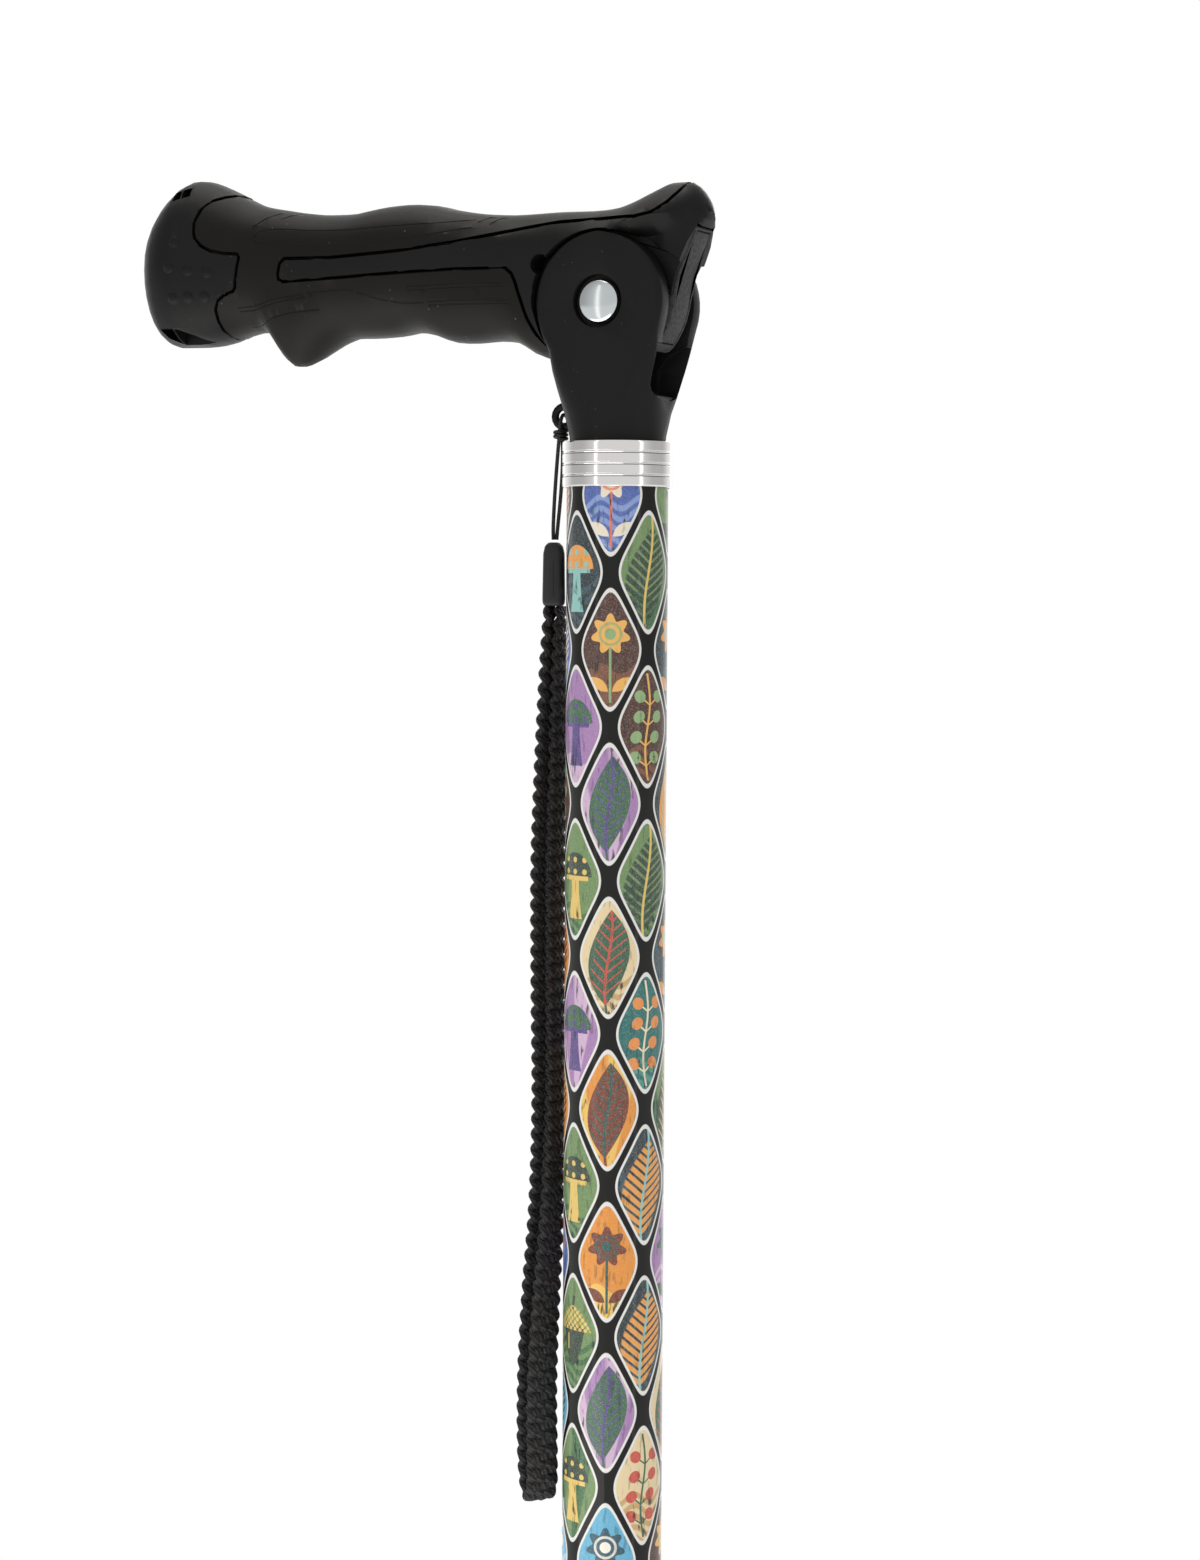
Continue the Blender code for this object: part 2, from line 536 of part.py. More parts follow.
def section(x, inset, sides):
    """One cross section of the handle at x, millimetres, drawn in by a wall thickness."""
    top, bottom = along(TOP_LINE, x), along(BOTTOM_LINE, x)
    if inset:
        bottom = max(bottom, CORE_LOWEST)
    middle = min(max(along(SPINE_LINE, x), bottom + 0.2), top - 0.2)
    side = max(along(SIDE_LINE, x) - inset, 0.2)
    above, below = max(top - middle - inset, 0.2), max(middle - bottom - inset, 0.2)
    upper, lower = along(UPPER_ROUNDNESS, x), along(LOWER_ROUNDNESS, x)
    blend = ease((x - FLANK_BLEND[0]) / (FLANK_BLEND[1] - FLANK_BLEND[0]))
    ring = []
    for i in range(sides):
        angle = 2 * math.pi * i / sides
        c, s = math.cos(angle), math.sin(angle)
        power = upper if s >= 0 else lower
        y = side * math.copysign(abs(c) ** (2 / power), c)
        z = middle + (above if s >= 0 else below) * math.copysign(abs(s) ** (2 / power), s)
        if s < -1e-6 and blend > 0:
            share = 1.0 - abs(angle - 1.5 * math.pi) / (0.5 * math.pi)
            flank_y, flank_z = flank_point(x, share, side, middle)
            y += (math.copysign(flank_y, c) - y) * blend
            z += (flank_z - z) * blend
        ring.append((x * MM, y * MM, z * MM))
    return ring


def handle_body(name, material=None, parent=None, cutter=False):
    """The whole outer form of the handle, before it is split into cap, skin and core."""
    stations = []
    for start, end, spacing in GRIP_STATIONS:
        count = round((end - start) / spacing)
        stations += [start + (end - start) * i / count for i in range(count)]
    stations.append(GRIP_STATIONS[-1][1])
    return loft(name, [section(x, 0.0, GRIP_SIDES) for x in stations], material, parent, cutter)


def inner_body(name, inset, shorten, material=None, parent=None, cutter=False):
    """The hard core under the skin."""
    start, end = CORE_START + shorten, CORE_END - shorten
    count = round((end - start) / CORE_SPACING)
    stations = [start + (end - start) * i / count for i in range(count + 1)]
    rings = [section(x, inset / MM, CORE_SIDES) for x in stations]
    return loft(name, rings, material, parent, cutter, triangles=True)


def across(name, radius, low_y, high_y, parent, place=(0.0, 0.0), sides=SMALL_SEGMENTS):
    """A cylindrical cutter along Y at (x, z) in its parent's frame."""
    thing = turned(name, rod(radius, low_y, high_y), cutter=True, parent=parent, sides=sides)
    thing.matrix_local = Matrix.Translation((place[0], 0.0, place[1])) @ Matrix.Rotation(-math.pi / 2, 4,
                                                                                         "X")
    return thing


def lay_across(thing, place=(0.0, 0.0), flip=False):
    """Turns a piece made along Z so that it lies along Y."""
    turn = math.pi / 2 if flip else -math.pi / 2
    thing.matrix_local = Matrix.Translation((place[0], 0.0, place[1])) @ Matrix.Rotation(turn, 4, "X")
    return thing


def rounded_ring(z, half_x, half_y, radius):
    """A rounded rectangle at height z, as a ring of points."""
    radius = min(radius, half_x, half_y)
    ring = []
    for corner in range(4):
        sign_x, sign_y = ((1, 1), (-1, 1), (-1, -1), (1, -1))[corner]
        for i in range(6):
            angle = math.radians(90 * corner + 18 * i)
            ring.append((sign_x * (half_x - radius) + radius * math.cos(angle),
                         sign_y * (half_y - radius) + radius * math.sin(angle), z))
    return ring


# Frames that the groups are drawn in
pivot = add_empty("handle_axis", (0.0, 0.0, PIVOT_Z))
yoke = add_empty("yoke_frame", (0.0, 0.0, PIVOT_Z))
button_axis = add_empty("button_axis", (0.0, 0.0, BUTTON_Z))
lever_axis = add_empty("lever_axis", (LEVER_PIN_X, 0.0, PIVOT_Z + LEVER_PIN_Z))


def make_fork():
    """Two cheeks, neck and spigot in one moulding, with the strap lug on its left side."""
    rings = []
    shoulder = SHOULDER_BELOW_PIVOT
    spigot_r = TUBE_INNER_R - SEAT
    rings.append(rounded_ring(shoulder - SPIGOT_LENGTH, spigot_r, spigot_r, spigot_r))
    rings.append(rounded_ring(shoulder, spigot_r, spigot_r, spigot_r))
    rings.append(rounded_ring(shoulder, NECK_R, NECK_R, NECK_R))
    rings.append(rounded_ring(-PIVOT_ABOVE_COLLAR + 1.0 * MM, NECK_R, NECK_R, NECK_R))
    for z, left, right, half_y, radius in reversed(NECK_SECTIONS):
        ring = rounded_ring(z * MM, (left + right) / 2 * MM, half_y * FORK_HALF_WIDTH / 11.3, radius * MM)
        rings.append([(x + (right - left) / 2 * MM, y, level) for x, y, level in ring])
    steps = 13
    start = math.degrees(math.asin(-3.0 / 14.9))
    for i in range(steps + 1):
        angle = math.radians(start + (88.0 - start) * i / steps)
        rings.append(rounded_ring(CHEEK_R * math.sin(angle), CHEEK_R * math.cos(angle), FORK_HALF_WIDTH,
                                  1.1 * MM))
    fork = loft("fork", rings, HARD_BLACK, yoke)

    bpy.ops.mesh.primitive_torus_add(major_radius=LUG_RING_R, minor_radius=LUG_WIRE_R, major_segments=18,
                                     minor_segments=8, location=(0, 0, 0))
    ring = bpy.context.object
    ring.name = "lug_ring"
    for held in list(ring.users_collection):
        held.objects.unlink(ring)
    CUTTERS.objects.link(ring)
    ring.hide_render = True
    ring.display_type = "WIRE"
    ring.parent = yoke
    ring.matrix_local = Matrix.Translation((LUG_X, 0, LUG_Z)) @ Matrix.Rotation(math.pi / 2, 4, "X")

    reach = 40.0
    left = SLOT_LEFT_FLOOR / MM
    tail = TAIL_CAVITY_R / MM
    start_angle = -180.0 + math.degrees(math.asin(-left / tail))
    slot_outline = ([(-reach, reach), (-reach, left)] + arc(tail, start_angle, -98.0, 8) + SLOT_FLOOR
                    + [(reach, SLOT_FLOOR[-1][1]), (reach, reach)])
    slot = prism("fork_slot", slot_outline, -SLOT_HALF_WIDTH, SLOT_HALF_WIDTH, cutter=True, parent=yoke)
    throat_outline = (THROAT_FLOOR[1:] + [(reach, THROAT_FLOOR[-1][1]), (reach, THROAT_BACK[0][1])]
                      + THROAT_BACK
                      + [(THROAT_BACK[-1][0], THROAT_FLOOR[0][1])])
    throat = prism("fork_throat", throat_outline, -2 * SLOT_HALF_WIDTH, 2 * SLOT_HALF_WIDTH, cutter=True,
                   parent=yoke)
    bowl = prism("throat_bowl", [(-y, z) for y, z in THROAT_BOWL] + THROAT_BOWL[::-1], 0.0, 60 * MM,
                 cutter=True, parent=yoke, plane="YZ")
    boolean(throat, bowl, "INTERSECT")
    near = across("near_counterbore", COUNTERBORE_R, -FORK_HALF_WIDTH - 5 * MM, -HEAD_SEAT_Y, yoke,
                  sides=32)
    far = across("far_counterbore", COUNTERBORE_R, HEAD_SEAT_Y, FORK_HALF_WIDTH + 5 * MM, yoke, sides=32)
    keyway = across("hex_hole", HEX_CORNER_R + SEAT * 1.2, -FORK_HALF_WIDTH, FORK_HALF_WIDTH, yoke, sides=6)
    bore = turned("spigot_bore", rod(SPIGOT_BORE_R, shoulder - SPIGOT_LENGTH - 5 * MM,
                                     shoulder - 5 * MM - 4 * MM),
                  cutter=True, parent=yoke, sides=24)
    pin_hole = across("fork_pin_hole", SPIGOT_PIN_R + SEAT, -20 * MM, 20 * MM, yoke,
                      (0.0, shoulder - SPIGOT_PIN_BELOW_SHOULDER))
    boolean(fork, ring, "UNION")
    cut(fork, slot, throat, near, far, keyway, bore, pin_hole)


def make_collar():
    """Ribbed ring that hides the joint between fork and tube; its lip sits over the tube's end."""
    inner = TUBE_OUTER_R + SEAT
    lip_inner = NECK_R + SEAT
    bottom = COLLAR_TOP - COLLAR_HEIGHT
    chamfer = 0.5 * MM
    band = COLLAR_HEIGHT / (COLLAR_GROOVES + 1)
    outer = [(COLLAR_OUTER_R - chamfer, COLLAR_TOP), (COLLAR_OUTER_R, COLLAR_TOP - chamfer)]
    for i in range(1, COLLAR_GROOVES + 1):
        z = COLLAR_TOP - band * i
        outer += [(COLLAR_OUTER_R, z + 0.55 * MM), (COLLAR_OUTER_R - COLLAR_GROOVE_DEPTH, z),
                  (COLLAR_OUTER_R, z - 0.55 * MM)]
    outer += [(COLLAR_OUTER_R, bottom + chamfer), (COLLAR_OUTER_R - chamfer, bottom)]
    profile = ([(lip_inner, COLLAR_TOP)] + outer
               + [(inner, bottom), (inner, COLLAR_TOP - COLLAR_LIP), (lip_inner, COLLAR_TOP - COLLAR_LIP)])
    turned("collar", profile, ALUMINIUM, closed=True)


def side_hole(name, radius, z, parent=None, low_y=-20 * MM, high_y=0.0):
    return across(name, radius, low_y, high_y, parent, (0.0, z), sides=16)


def make_tubes():
    """Printed upper tube with its row of holes, and the dark lower tube that slides in it."""
    upper = turned("upper_tube", pipe(TUBE_INNER_R, TUBE_OUTER_R, UPPER_TUBE_BOTTOM, UPPER_TUBE_TOP), PRINT,
                   closed=True)
    for i in range(-HOLES_BELOW_REST, HOLES_ABOVE_REST + 1):
        cut(upper, side_hole(f"adjuster_hole_{i + HOLES_BELOW_REST}", BUTTON_R + SLIDE, BUTTON_Z
                             + i * HOLE_PITCH))
    cut(upper, across("tube_pin_hole", SPIGOT_PIN_R + SEAT, -20 * MM, 20 * MM, None,
                      (0.0, SHOULDER_Z - SPIGOT_PIN_BELOW_SHOULDER)))
    lower = turned("lower_tube", pipe(LOWER_INNER_R, LOWER_OUTER_R, LOWER_TUBE_BOTTOM, LOWER_TUBE_TOP),
                   DARK_TUBE, closed=True)
    cut(lower, side_hole("button_hole", BUTTON_R + SEAT, BUTTON_Z))
    guide_top = LOWER_TUBE_TOP + SEAT + GUIDE_HEAD
    guide_r = TUBE_INNER_R - SLIDE
    turned("tube_guide", [(0.0, guide_top), (guide_r - 0.8 * MM, guide_top),
                          (guide_r, guide_top - 0.8 * MM),
                          (guide_r, LOWER_TUBE_TOP + SEAT), (LOWER_INNER_R - SEAT, LOWER_TUBE_TOP + SEAT),
                          (LOWER_INNER_R - SEAT, LOWER_TUBE_TOP - GUIDE_STUB),
                          (0.0, LOWER_TUBE_TOP - GUIDE_STUB)],
           NYLON)
    pin = turned("spigot_pin", rod(SPIGOT_PIN_R, -TUBE_OUTER_R + 0.2 * MM, TUBE_OUTER_R - 0.2 * MM), STEEL,
                 parent=yoke, sides=SMALL_SEGMENTS)
    lay_across(pin, (0.0, SHOULDER_BELOW_PIVOT - SPIGOT_PIN_BELOW_SHOULDER))


def make_button():
    """Snap button in the lower tube, and the bent leaf that carries it."""
    base = LOWER_INNER_R - 0.8 * MM
    proud = TUBE_OUTER_R + BUTTON_PROUD
    dome = 0.9 * MM
    button = turned("snap_button", [(0.0, proud), (BUTTON_R * 0.55, proud - 0.25 * MM),
                                    (BUTTON_R, proud - dome),
                                    (BUTTON_R, base), (0.0, base)], CHROME, parent=button_axis,
                    sides=SMALL_SEGMENTS)
    lay_across(button, flip=True)
    outer = base - SEAT
    inner = outer - LEAF_THICKNESS
    leg = LEAF_LEG / MM
    rise = 6.0
    outline = ([(-outer / MM, rise)] + arc(outer / MM, 180.0, 360.0, 12, (0.0, rise - leg))
               + [(outer / MM, rise)]
               + [(inner / MM, rise)] + arc(inner / MM, 360.0, 180.0, 12, (0.0, rise - leg))
               + [(-inner / MM, rise)])
    prism("button_spring", outline, -LEAF_WIDTH / 2, LEAF_WIDTH / 2, STEEL, button_axis, plane="YZ")


def make_ring_group():
    """Sleeve, split bush and quarter-turn ring that stop the lower tube rattling."""
    sleeve_inner = TUBE_OUTER_R + SEAT
    nose_outer = sleeve_inner + SLEEVE_WALL
    running = LOWER_OUTER_R + SLIDE
    tube_end = UPPER_TUBE_BOTTOM
    shelf = tube_end - SEAT
    nose = shelf - SLEEVE_NOSE_LENGTH
    cap_outer = nose_outer + SLIDE + RING_WALL
    turned("end_sleeve", [(sleeve_inner, tube_end + SLEEVE_GRIP_LENGTH),
                          (nose_outer, tube_end + SLEEVE_GRIP_LENGTH),
                          (nose_outer, tube_end + SLEEVE_GRIP_LENGTH - 3.0 * MM),
                          (nose_outer, nose), (running, nose), (running, shelf), (sleeve_inner, shelf)],
           NYLON, closed=True)
    bush_top = nose - SEAT
    bush_low = bush_top - BUSH_HEIGHT
    bush = turned("anti_rattle_bush", pipe(running, nose_outer - 0.2 * MM, bush_low, bush_top), RUBBER,
                  closed=True)
    split = prism("bush_split", [(-30.0, bush_low / MM - 2), (-30.0, bush_top / MM + 2),
                                 (0.0, bush_top / MM + 2),
                                 (0.0, bush_low / MM - 2)], -0.6 * MM, 0.6 * MM, cutter=True)
    cut(bush, split)
    ring_top = tube_end + 3.0 * MM
    ring_low = bush_low - SEAT - RING_LIP
    ring = turned("locking_ring", [(nose_outer + SLIDE, ring_top), (cap_outer - 0.8 * MM, ring_top),
                                   (cap_outer, ring_top - 0.8 * MM), (cap_outer, ring_low + 1.2 * MM),
                                   (cap_outer - 1.2 * MM, ring_low), (running, ring_low),
                                   (running, ring_low + RING_LIP),
                                   (nose_outer + SLIDE, ring_low + RING_LIP)],
                  NYLON, closed=True)
    flutes = []
    for i in range(RING_FLUTES):
        angle = 2 * math.pi * (i + 0.5) / RING_FLUTES
        flute = turned(f"flute_{i}", rod(1.5 * MM, ring_low + 3.0 * MM, ring_top + 3.0 * MM), cutter=True,
                       sides=10)
        flute.matrix_local = Matrix.Translation(((cap_outer + 0.75 * MM) * math.cos(angle),
                                                 (cap_outer + 0.75 * MM) * math.sin(angle), 0.0))
        flutes.append(flute)
    cut(ring, joined("ring_flutes", flutes, cutter=True))


def make_ferrule():
    """Flared rubber foot with a grooved sole and a steel washer under the tube's end."""
    socket = LOWER_OUTER_R + SEAT
    mid = (FERRULE_BASE_R + FERRULE_NECK_R) / 2
    neck = FERRULE_NECK_R
    profile = [(socket, FERRULE_HEIGHT), (neck - 0.9 * MM, FERRULE_HEIGHT),
               (neck, FERRULE_HEIGHT - 1.2 * MM)]
    for i in range(3):
        z = FERRULE_HEIGHT - (5.0 + 4.0 * i) * MM
        profile += [(neck, z + 0.8 * MM), (neck + 0.9 * MM, z + 0.3 * MM), (neck + 0.9 * MM, z - 0.5 * MM),
                    (neck, z - 1.0 * MM)]
    profile += [(neck, 18.0 * MM), (mid - 0.6 * MM, 11.0 * MM), (FERRULE_BASE_R - 0.7 * MM, 5.0 * MM),
                (FERRULE_BASE_R, 3.6 * MM), (FERRULE_BASE_R, 0.8 * MM), (FERRULE_BASE_R - 0.8 * MM, 0.0)]
    for share in (0.78, 0.52):
        r = FERRULE_BASE_R * share
        profile += [(r + 0.9 * MM, 0.0), (r + 0.6 * MM, TREAD_DEPTH), (r - 0.6 * MM, TREAD_DEPTH),
                    (r - 0.9 * MM, 0.0)]
    profile += [(0.0, 0.0)]
    turned("ferrule", [(0.0, FERRULE_FLOOR), (socket, FERRULE_FLOOR)] + profile, RUBBER, sides=FERRULE_SIDES)
    turned("ferrule_washer", rod(LOWER_OUTER_R - 0.1 * MM, FERRULE_FLOOR + SEAT,
                                 FERRULE_FLOOR + SEAT + WASHER_THICKNESS), STEEL, sides=24)


def dome_end(radius, low, edge, dome):
    """Outer profile of a domed head that stands on z = low."""
    points = [(0.0, low + edge + dome)]
    for share in (0.38, 0.68, 0.88, 1.0):
        points.append((radius * share, low + edge + dome * math.sqrt(1 - (share * 0.98) ** 2)))
    points.append((radius, low))
    return points


def make_pivot_hardware():
    """Bolt, domed nut, hexagonal sleeve, index disc, bushes and thrust washers on the handle's axis."""
    head_low = HEAD_SEAT_Y + SEAT
    shank_end = HEAD_SEAT_Y + 1.2 * MM
    bolt = turned("pivot_bolt", dome_end(BOLT_HEAD_R, head_low, BOLT_HEAD_EDGE, BOLT_DOME)
                  + [(BOLT_SHANK_R, head_low), (BOLT_SHANK_R, -shank_end), (0.0, -shank_end)],
                  CHROME, parent=yoke, sides=32)
    lay_across(bolt, flip=True)
    thread = BOLT_SHANK_R + SEAT
    blind = shank_end + SEAT
    nut = turned("pivot_nut", dome_end(BOLT_HEAD_R, head_low, BOLT_HEAD_EDGE + 0.6 * MM, BOLT_DOME)
                 + [(thread, head_low), (thread, blind), (0.0, blind)], CHROME, parent=yoke, sides=32)
    lay_across(nut)
    half = HEAD_SEAT_Y - 0.1 * MM
    sleeve = turned("hex_sleeve", rod(HEX_CORNER_R, -half, half), STEEL, parent=yoke, sides=6)
    lay_across(sleeve)
    cut(sleeve, across("sleeve_bore", BOLT_SHANK_R + SEAT, -30 * MM, 30 * MM, yoke))

    bush_inner = HEX_CORNER_R + SEAT
    half_slot = DISC_THICKNESS / 2 + SEAT
    bush_profile = pipe(bush_inner, bush_inner + BUSH_WALL, half_slot, PLATE_HALF_WIDTH)
    gap = SLOT_HALF_WIDTH - PLATE_HALF_WIDTH
    washer_low = PLATE_HALF_WIDTH + (gap - THRUST_WASHER) / 2
    washer_profile = pipe(bush_inner, HUB_R - 1.0 * MM, washer_low, washer_low + THRUST_WASHER)
    for side, flip in (("near", True), ("far", False)):
        lay_across(turned(f"{side}_bush", bush_profile, BRONZE, pivot, closed=True, sides=24), flip=flip)
        lay_across(turned(f"{side}_thrust_washer", washer_profile, NYLON, yoke, closed=True, sides=24),
                   flip=flip)

    disc = lay_across(turned("index_disc", rod(DISC_R, -DISC_THICKNESS / 2, DISC_THICKNESS / 2), STEEL,
                             parent=yoke, sides=SEGMENTS))
    cut(disc, across("disc_hex", HEX_CORNER_R + SEAT * 1.2, -30 * MM, 30 * MM, yoke, sides=6))
    half_notch = (TOOTH_HALF_THICKNESS + SEAT * 1.2) / MM
    for number, angle in enumerate((NOTCH_ANGLE, NOTCH_ANGLE - HANDLE_TURN)):
        floor = (DISC_R - NOTCH_DEPTH - SEAT) / MM
        notch = prism(f"notch_{number}", [(floor, -half_notch), (floor + 9.0, -half_notch),
                                          (floor + 9.0, half_notch), (floor, half_notch)],
                      -10 * MM, 10 * MM, cutter=True, parent=yoke)
        swing(notch, angle)
        cut(disc, notch)
    beside = math.degrees(math.asin(half_notch * MM / DISC_R) + NOTCH_RIB / DISC_R)
    low = NOTCH_ANGLE - HANDLE_TURN + beside
    high = NOTCH_ANGLE - beside
    relief = prism("disc_relief", arc(DISC_R / MM - NOTCH_DEPTH / MM - SEAT / MM, low, high, 12)
                   + arc(DISC_R / MM + 4.0, high, low, 12), -10 * MM, 10 * MM, cutter=True, parent=yoke)
    cut(disc, relief)


def pocket_outline(clearance):
    """What the fork's cheek sweeps in the handle's frame, from cane to staff, millimetres."""
    radius = CHEEK_R / MM + clearance
    reach = 60.0
    left = [(-left - clearance, z) for z, left, _, _, _ in NECK_SECTIONS[:3]]
    above = [(-z, right + clearance) for z, _, right, _, _ in NECK_SECTIONS]
    return ([(left[-1][0], -reach)] + left[::-1] + [(-radius, -1.0)] + arc(radius, 180.0, 79.0, 18)
            + above + [(reach, above[-1][1]), (reach, -reach)])


def wing_outline(clearance):
    """Where the hump keeps its wings, because the fork's throat lets them in when the handle is upright."""
    throat_z = THROAT_BACK[0][1]
    corner = along(sorted((z, right) for z, _, right, _, _ in NECK_SECTIONS), throat_z)
    reach = math.hypot(corner, throat_z) + clearance
    return (arc(reach, 62.0, 42.0, 8) + [(x, z - 0.6) for x, z in HUMP_EDGE[2:]]
            + [(40.0, -0.6), (40.0, 20.0), (reach * math.cos(math.radians(62.0)), 20.0)])


def lever_slot_outline():
    """Room for the latch lever in the hump, open to the rear."""
    reach = 40.0
    return ([(reach, -reach), (4.0, -reach)] + arc(HUB_R / MM + 0.6, -62.0, 24.0, 10) + LEVER_WALL
            + [(reach, LEVER_WALL[-1][1])])


def ear_arc():
    return arc(LEVER_BOSS_R / MM, -125.0, 0.0, 8, (LEVER_PIN_X / MM, LEVER_PIN_Z / MM))


def tongue_outline():
    """Hub, ears and the foot of the hump, all between the fork's cheeks."""
    return ([(-9.6, 12.9), (-9.6, -3.0)] + arc(HUB_R / MM, -150.0, -14.0, 12) + ear_arc()
            + HUMP_BACK[-2:-7:-1] + [(16.5, 12.9)])


def plate_cut_outline():
    """Everything below the hub and the hump that the tongue leaves out."""
    reach = 60.0
    left = -(NECK_SECTIONS[1][1] + SLIDE / MM)
    return ([(left, -reach), (left, -11.3)] + arc(HUB_R / MM, -128.0, -14.0, 12) + ear_arc()
            + HUMP_BACK[::-1] + [(reach, HUMP_BACK[0][1]), (reach, -reach)])


def relief_outline():
    """Step below the hump's flanks, beside the lever."""
    reach = 40.0
    return (HUMP_EDGE + [(reach, 0.0), (reach, -reach), (0.0, -reach)]
            + arc(HUB_R / MM + 0.2, -90.0, 58.0, 14))


def make_handle():
    """Hard core with the tongue, soft skin around it, and the flared cap on the far end."""
    clearance = SLIDE / MM
    near_pocket = prism("near_pocket", pocket_outline(clearance), -40 * MM, -PLATE_HALF_WIDTH, cutter=True,
                        parent=pivot)
    far_pocket = prism("far_pocket", pocket_outline(clearance), PLATE_HALF_WIDTH, 40 * MM, cutter=True,
                       parent=pivot)
    wall, inside = WING_HALF_WIDTH + 0.2 * MM, PLATE_HALF_WIDTH - 1 * MM
    cut(near_pocket, prism("near_wing", wing_outline(clearance), -wall, -inside, cutter=True, parent=pivot))
    cut(far_pocket, prism("far_wing", wing_outline(clearance), inside, wall, cutter=True, parent=pivot))
    plate_cut = prism("plate_cut", plate_cut_outline(), -40 * MM, 40 * MM, cutter=True, parent=pivot)
    lever_slot = prism("lever_slot", lever_slot_outline(), -LEVER_HALF_WIDTH - SLIDE, LEVER_HALF_WIDTH
                       + SLIDE,
                       cutter=True, parent=pivot)
    disc_slot = across("disc_slot", DISC_R + SLIDE, -DISC_THICKNESS / 2 - SEAT, DISC_THICKNESS / 2 + SEAT,
                       pivot, sides=SEGMENTS)
    hub_bore = across("hub_bore", HEX_CORNER_R + 2 * SEAT + BUSH_WALL, -30 * MM, 30 * MM, pivot, sides=24)
    pin_bore = across("lever_pin_bore", LEVER_PIN_R + SEAT, -30 * MM, 30 * MM, pivot,
                      (LEVER_PIN_X, LEVER_PIN_Z), sides=12)

    window_tight = prism("window_tight", grown(WINDOW, -SEAT / MM), -40 * MM, 40 * MM, cutter=True,
                         parent=pivot)
    window_loose = prism("window_loose", WINDOW, -40 * MM, 40 * MM, cutter=True, parent=pivot)
    cap_tight = prism("cap_tight", grown(CAP_SEAM, -SEAT / MM), -40 * MM, 40 * MM, cutter=True,
                      parent=pivot)
    cap_loose = prism("cap_loose", CAP_SEAM, -40 * MM, 40 * MM, cutter=True, parent=pivot)
    core_tight = inner_body("core_tight", SKIN + SEAT, SEAT / MM, parent=pivot, cutter=True)
    core_loose = inner_body("core_loose", SKIN, 0.0, parent=pivot, cutter=True)

    tongue = prism("tongue", tongue_outline(), -PLATE_HALF_WIDTH - 0.03 * MM, PLATE_HALF_WIDTH + 0.03 * MM,
                   cutter=True, parent=pivot)
    near_relief = prism("near_relief", relief_outline(), -40 * MM, -EAR_HALF_WIDTH, cutter=True,
                        parent=pivot)
    far_relief = prism("far_relief", relief_outline(), EAR_HALF_WIDTH, 40 * MM, cutter=True, parent=pivot)
    near_eye = across("near_eye", EYE_R, -40 * MM, -PLATE_HALF_WIDTH, pivot, (EYE_X, EYE_Z), sides=20)
    far_eye = across("far_eye", EYE_R, PLATE_HALF_WIDTH, 40 * MM, pivot, (EYE_X, EYE_Z), sides=20)
    spring_pocket = turned("spring_pocket", rod(SPRING_COIL_R + 0.6 * MM, SPRING_POCKET_X, SPRING_POCKET_X
                                                + 8 * MM),
                           cutter=True, parent=pivot, sides=16)
    spring_pocket.matrix_local = Matrix.Translation((0, 0, SPRING_SEAT_Z)) @ Matrix.Rotation(math.pi / 2, 4,
                                                                                             "Y")

    core = handle_body("handle_core", HARD_BLACK, pivot)
    boolean(core, window_tight, "INTERSECT")
    boolean(core, core_tight, "UNION")
    boolean(core, tongue, "UNION")
    screw_x = CORE_START * MM
    pilot = turned("screw_pilot", rod(CAP_SCREW_R + SEAT, screw_x - 20 * MM, screw_x + 16 * MM),
                   cutter=True, parent=pivot, sides=12)
    pilot.matrix_local = Matrix.Translation((0, 0, CAP_SCREW_Z)) @ Matrix.Rotation(math.pi / 2, 4, "Y")
    cut(core, hub_bore, near_pocket, far_pocket, plate_cut, near_relief, far_relief, lever_slot, disc_slot,
        pin_bore, spring_pocket, pilot, near_eye, far_eye)

    skin = handle_body("grip_overmould", SOFT_BLACK, pivot)
    cut(skin, window_loose, cap_loose, core_loose, near_pocket, far_pocket)

    cap = handle_body("pommel_cap", HARD_BLACK, pivot)
    boolean(cap, cap_tight, "INTERSECT")
    cut(cap, core_loose, make_cap_openings())
    seat, far_end = CAP_SCREW_SEAT_X, CAP_SCREW_SEAT_X + CAP_SCREW_LENGTH + 4 * MM
    screw_hole = turned("cap_screw_hole", [(0.0, far_end), (CAP_SCREW_R + SEAT, far_end),
                                           (CAP_SCREW_R + SEAT, seat), (CAP_SCREW_HEAD_R + SEAT, seat),
                                           (CAP_SCREW_HEAD_R + SEAT, seat - 20 * MM),
                                           (0.0, seat - 20 * MM)],
                        cutter=True, parent=pivot, sides=18)
    screw_hole.matrix_local = Matrix.Translation((0, 0, CAP_SCREW_Z)) @ Matrix.Rotation(math.pi / 2, 4, "Y")
    cut(cap, screw_hole)
    head_low = seat - SEAT
    screw = turned("cap_screw", [(0.0, head_low + CAP_SCREW_LENGTH),
                                 (CAP_SCREW_R, head_low + CAP_SCREW_LENGTH),
                                 (CAP_SCREW_R, head_low), (CAP_SCREW_HEAD_R, head_low),
                                 (CAP_SCREW_HEAD_R, head_low - 1.6 * MM),
                                 (CAP_SCREW_HEAD_R * 0.6, head_low - 2.2 * MM),
                                 (0.0, head_low - 2.2 * MM)], STEEL, parent=pivot, sides=16)
    screw.matrix_local = Matrix.Translation((0, 0, CAP_SCREW_Z)) @ Matrix.Rotation(math.pi / 2, 4, "Y")


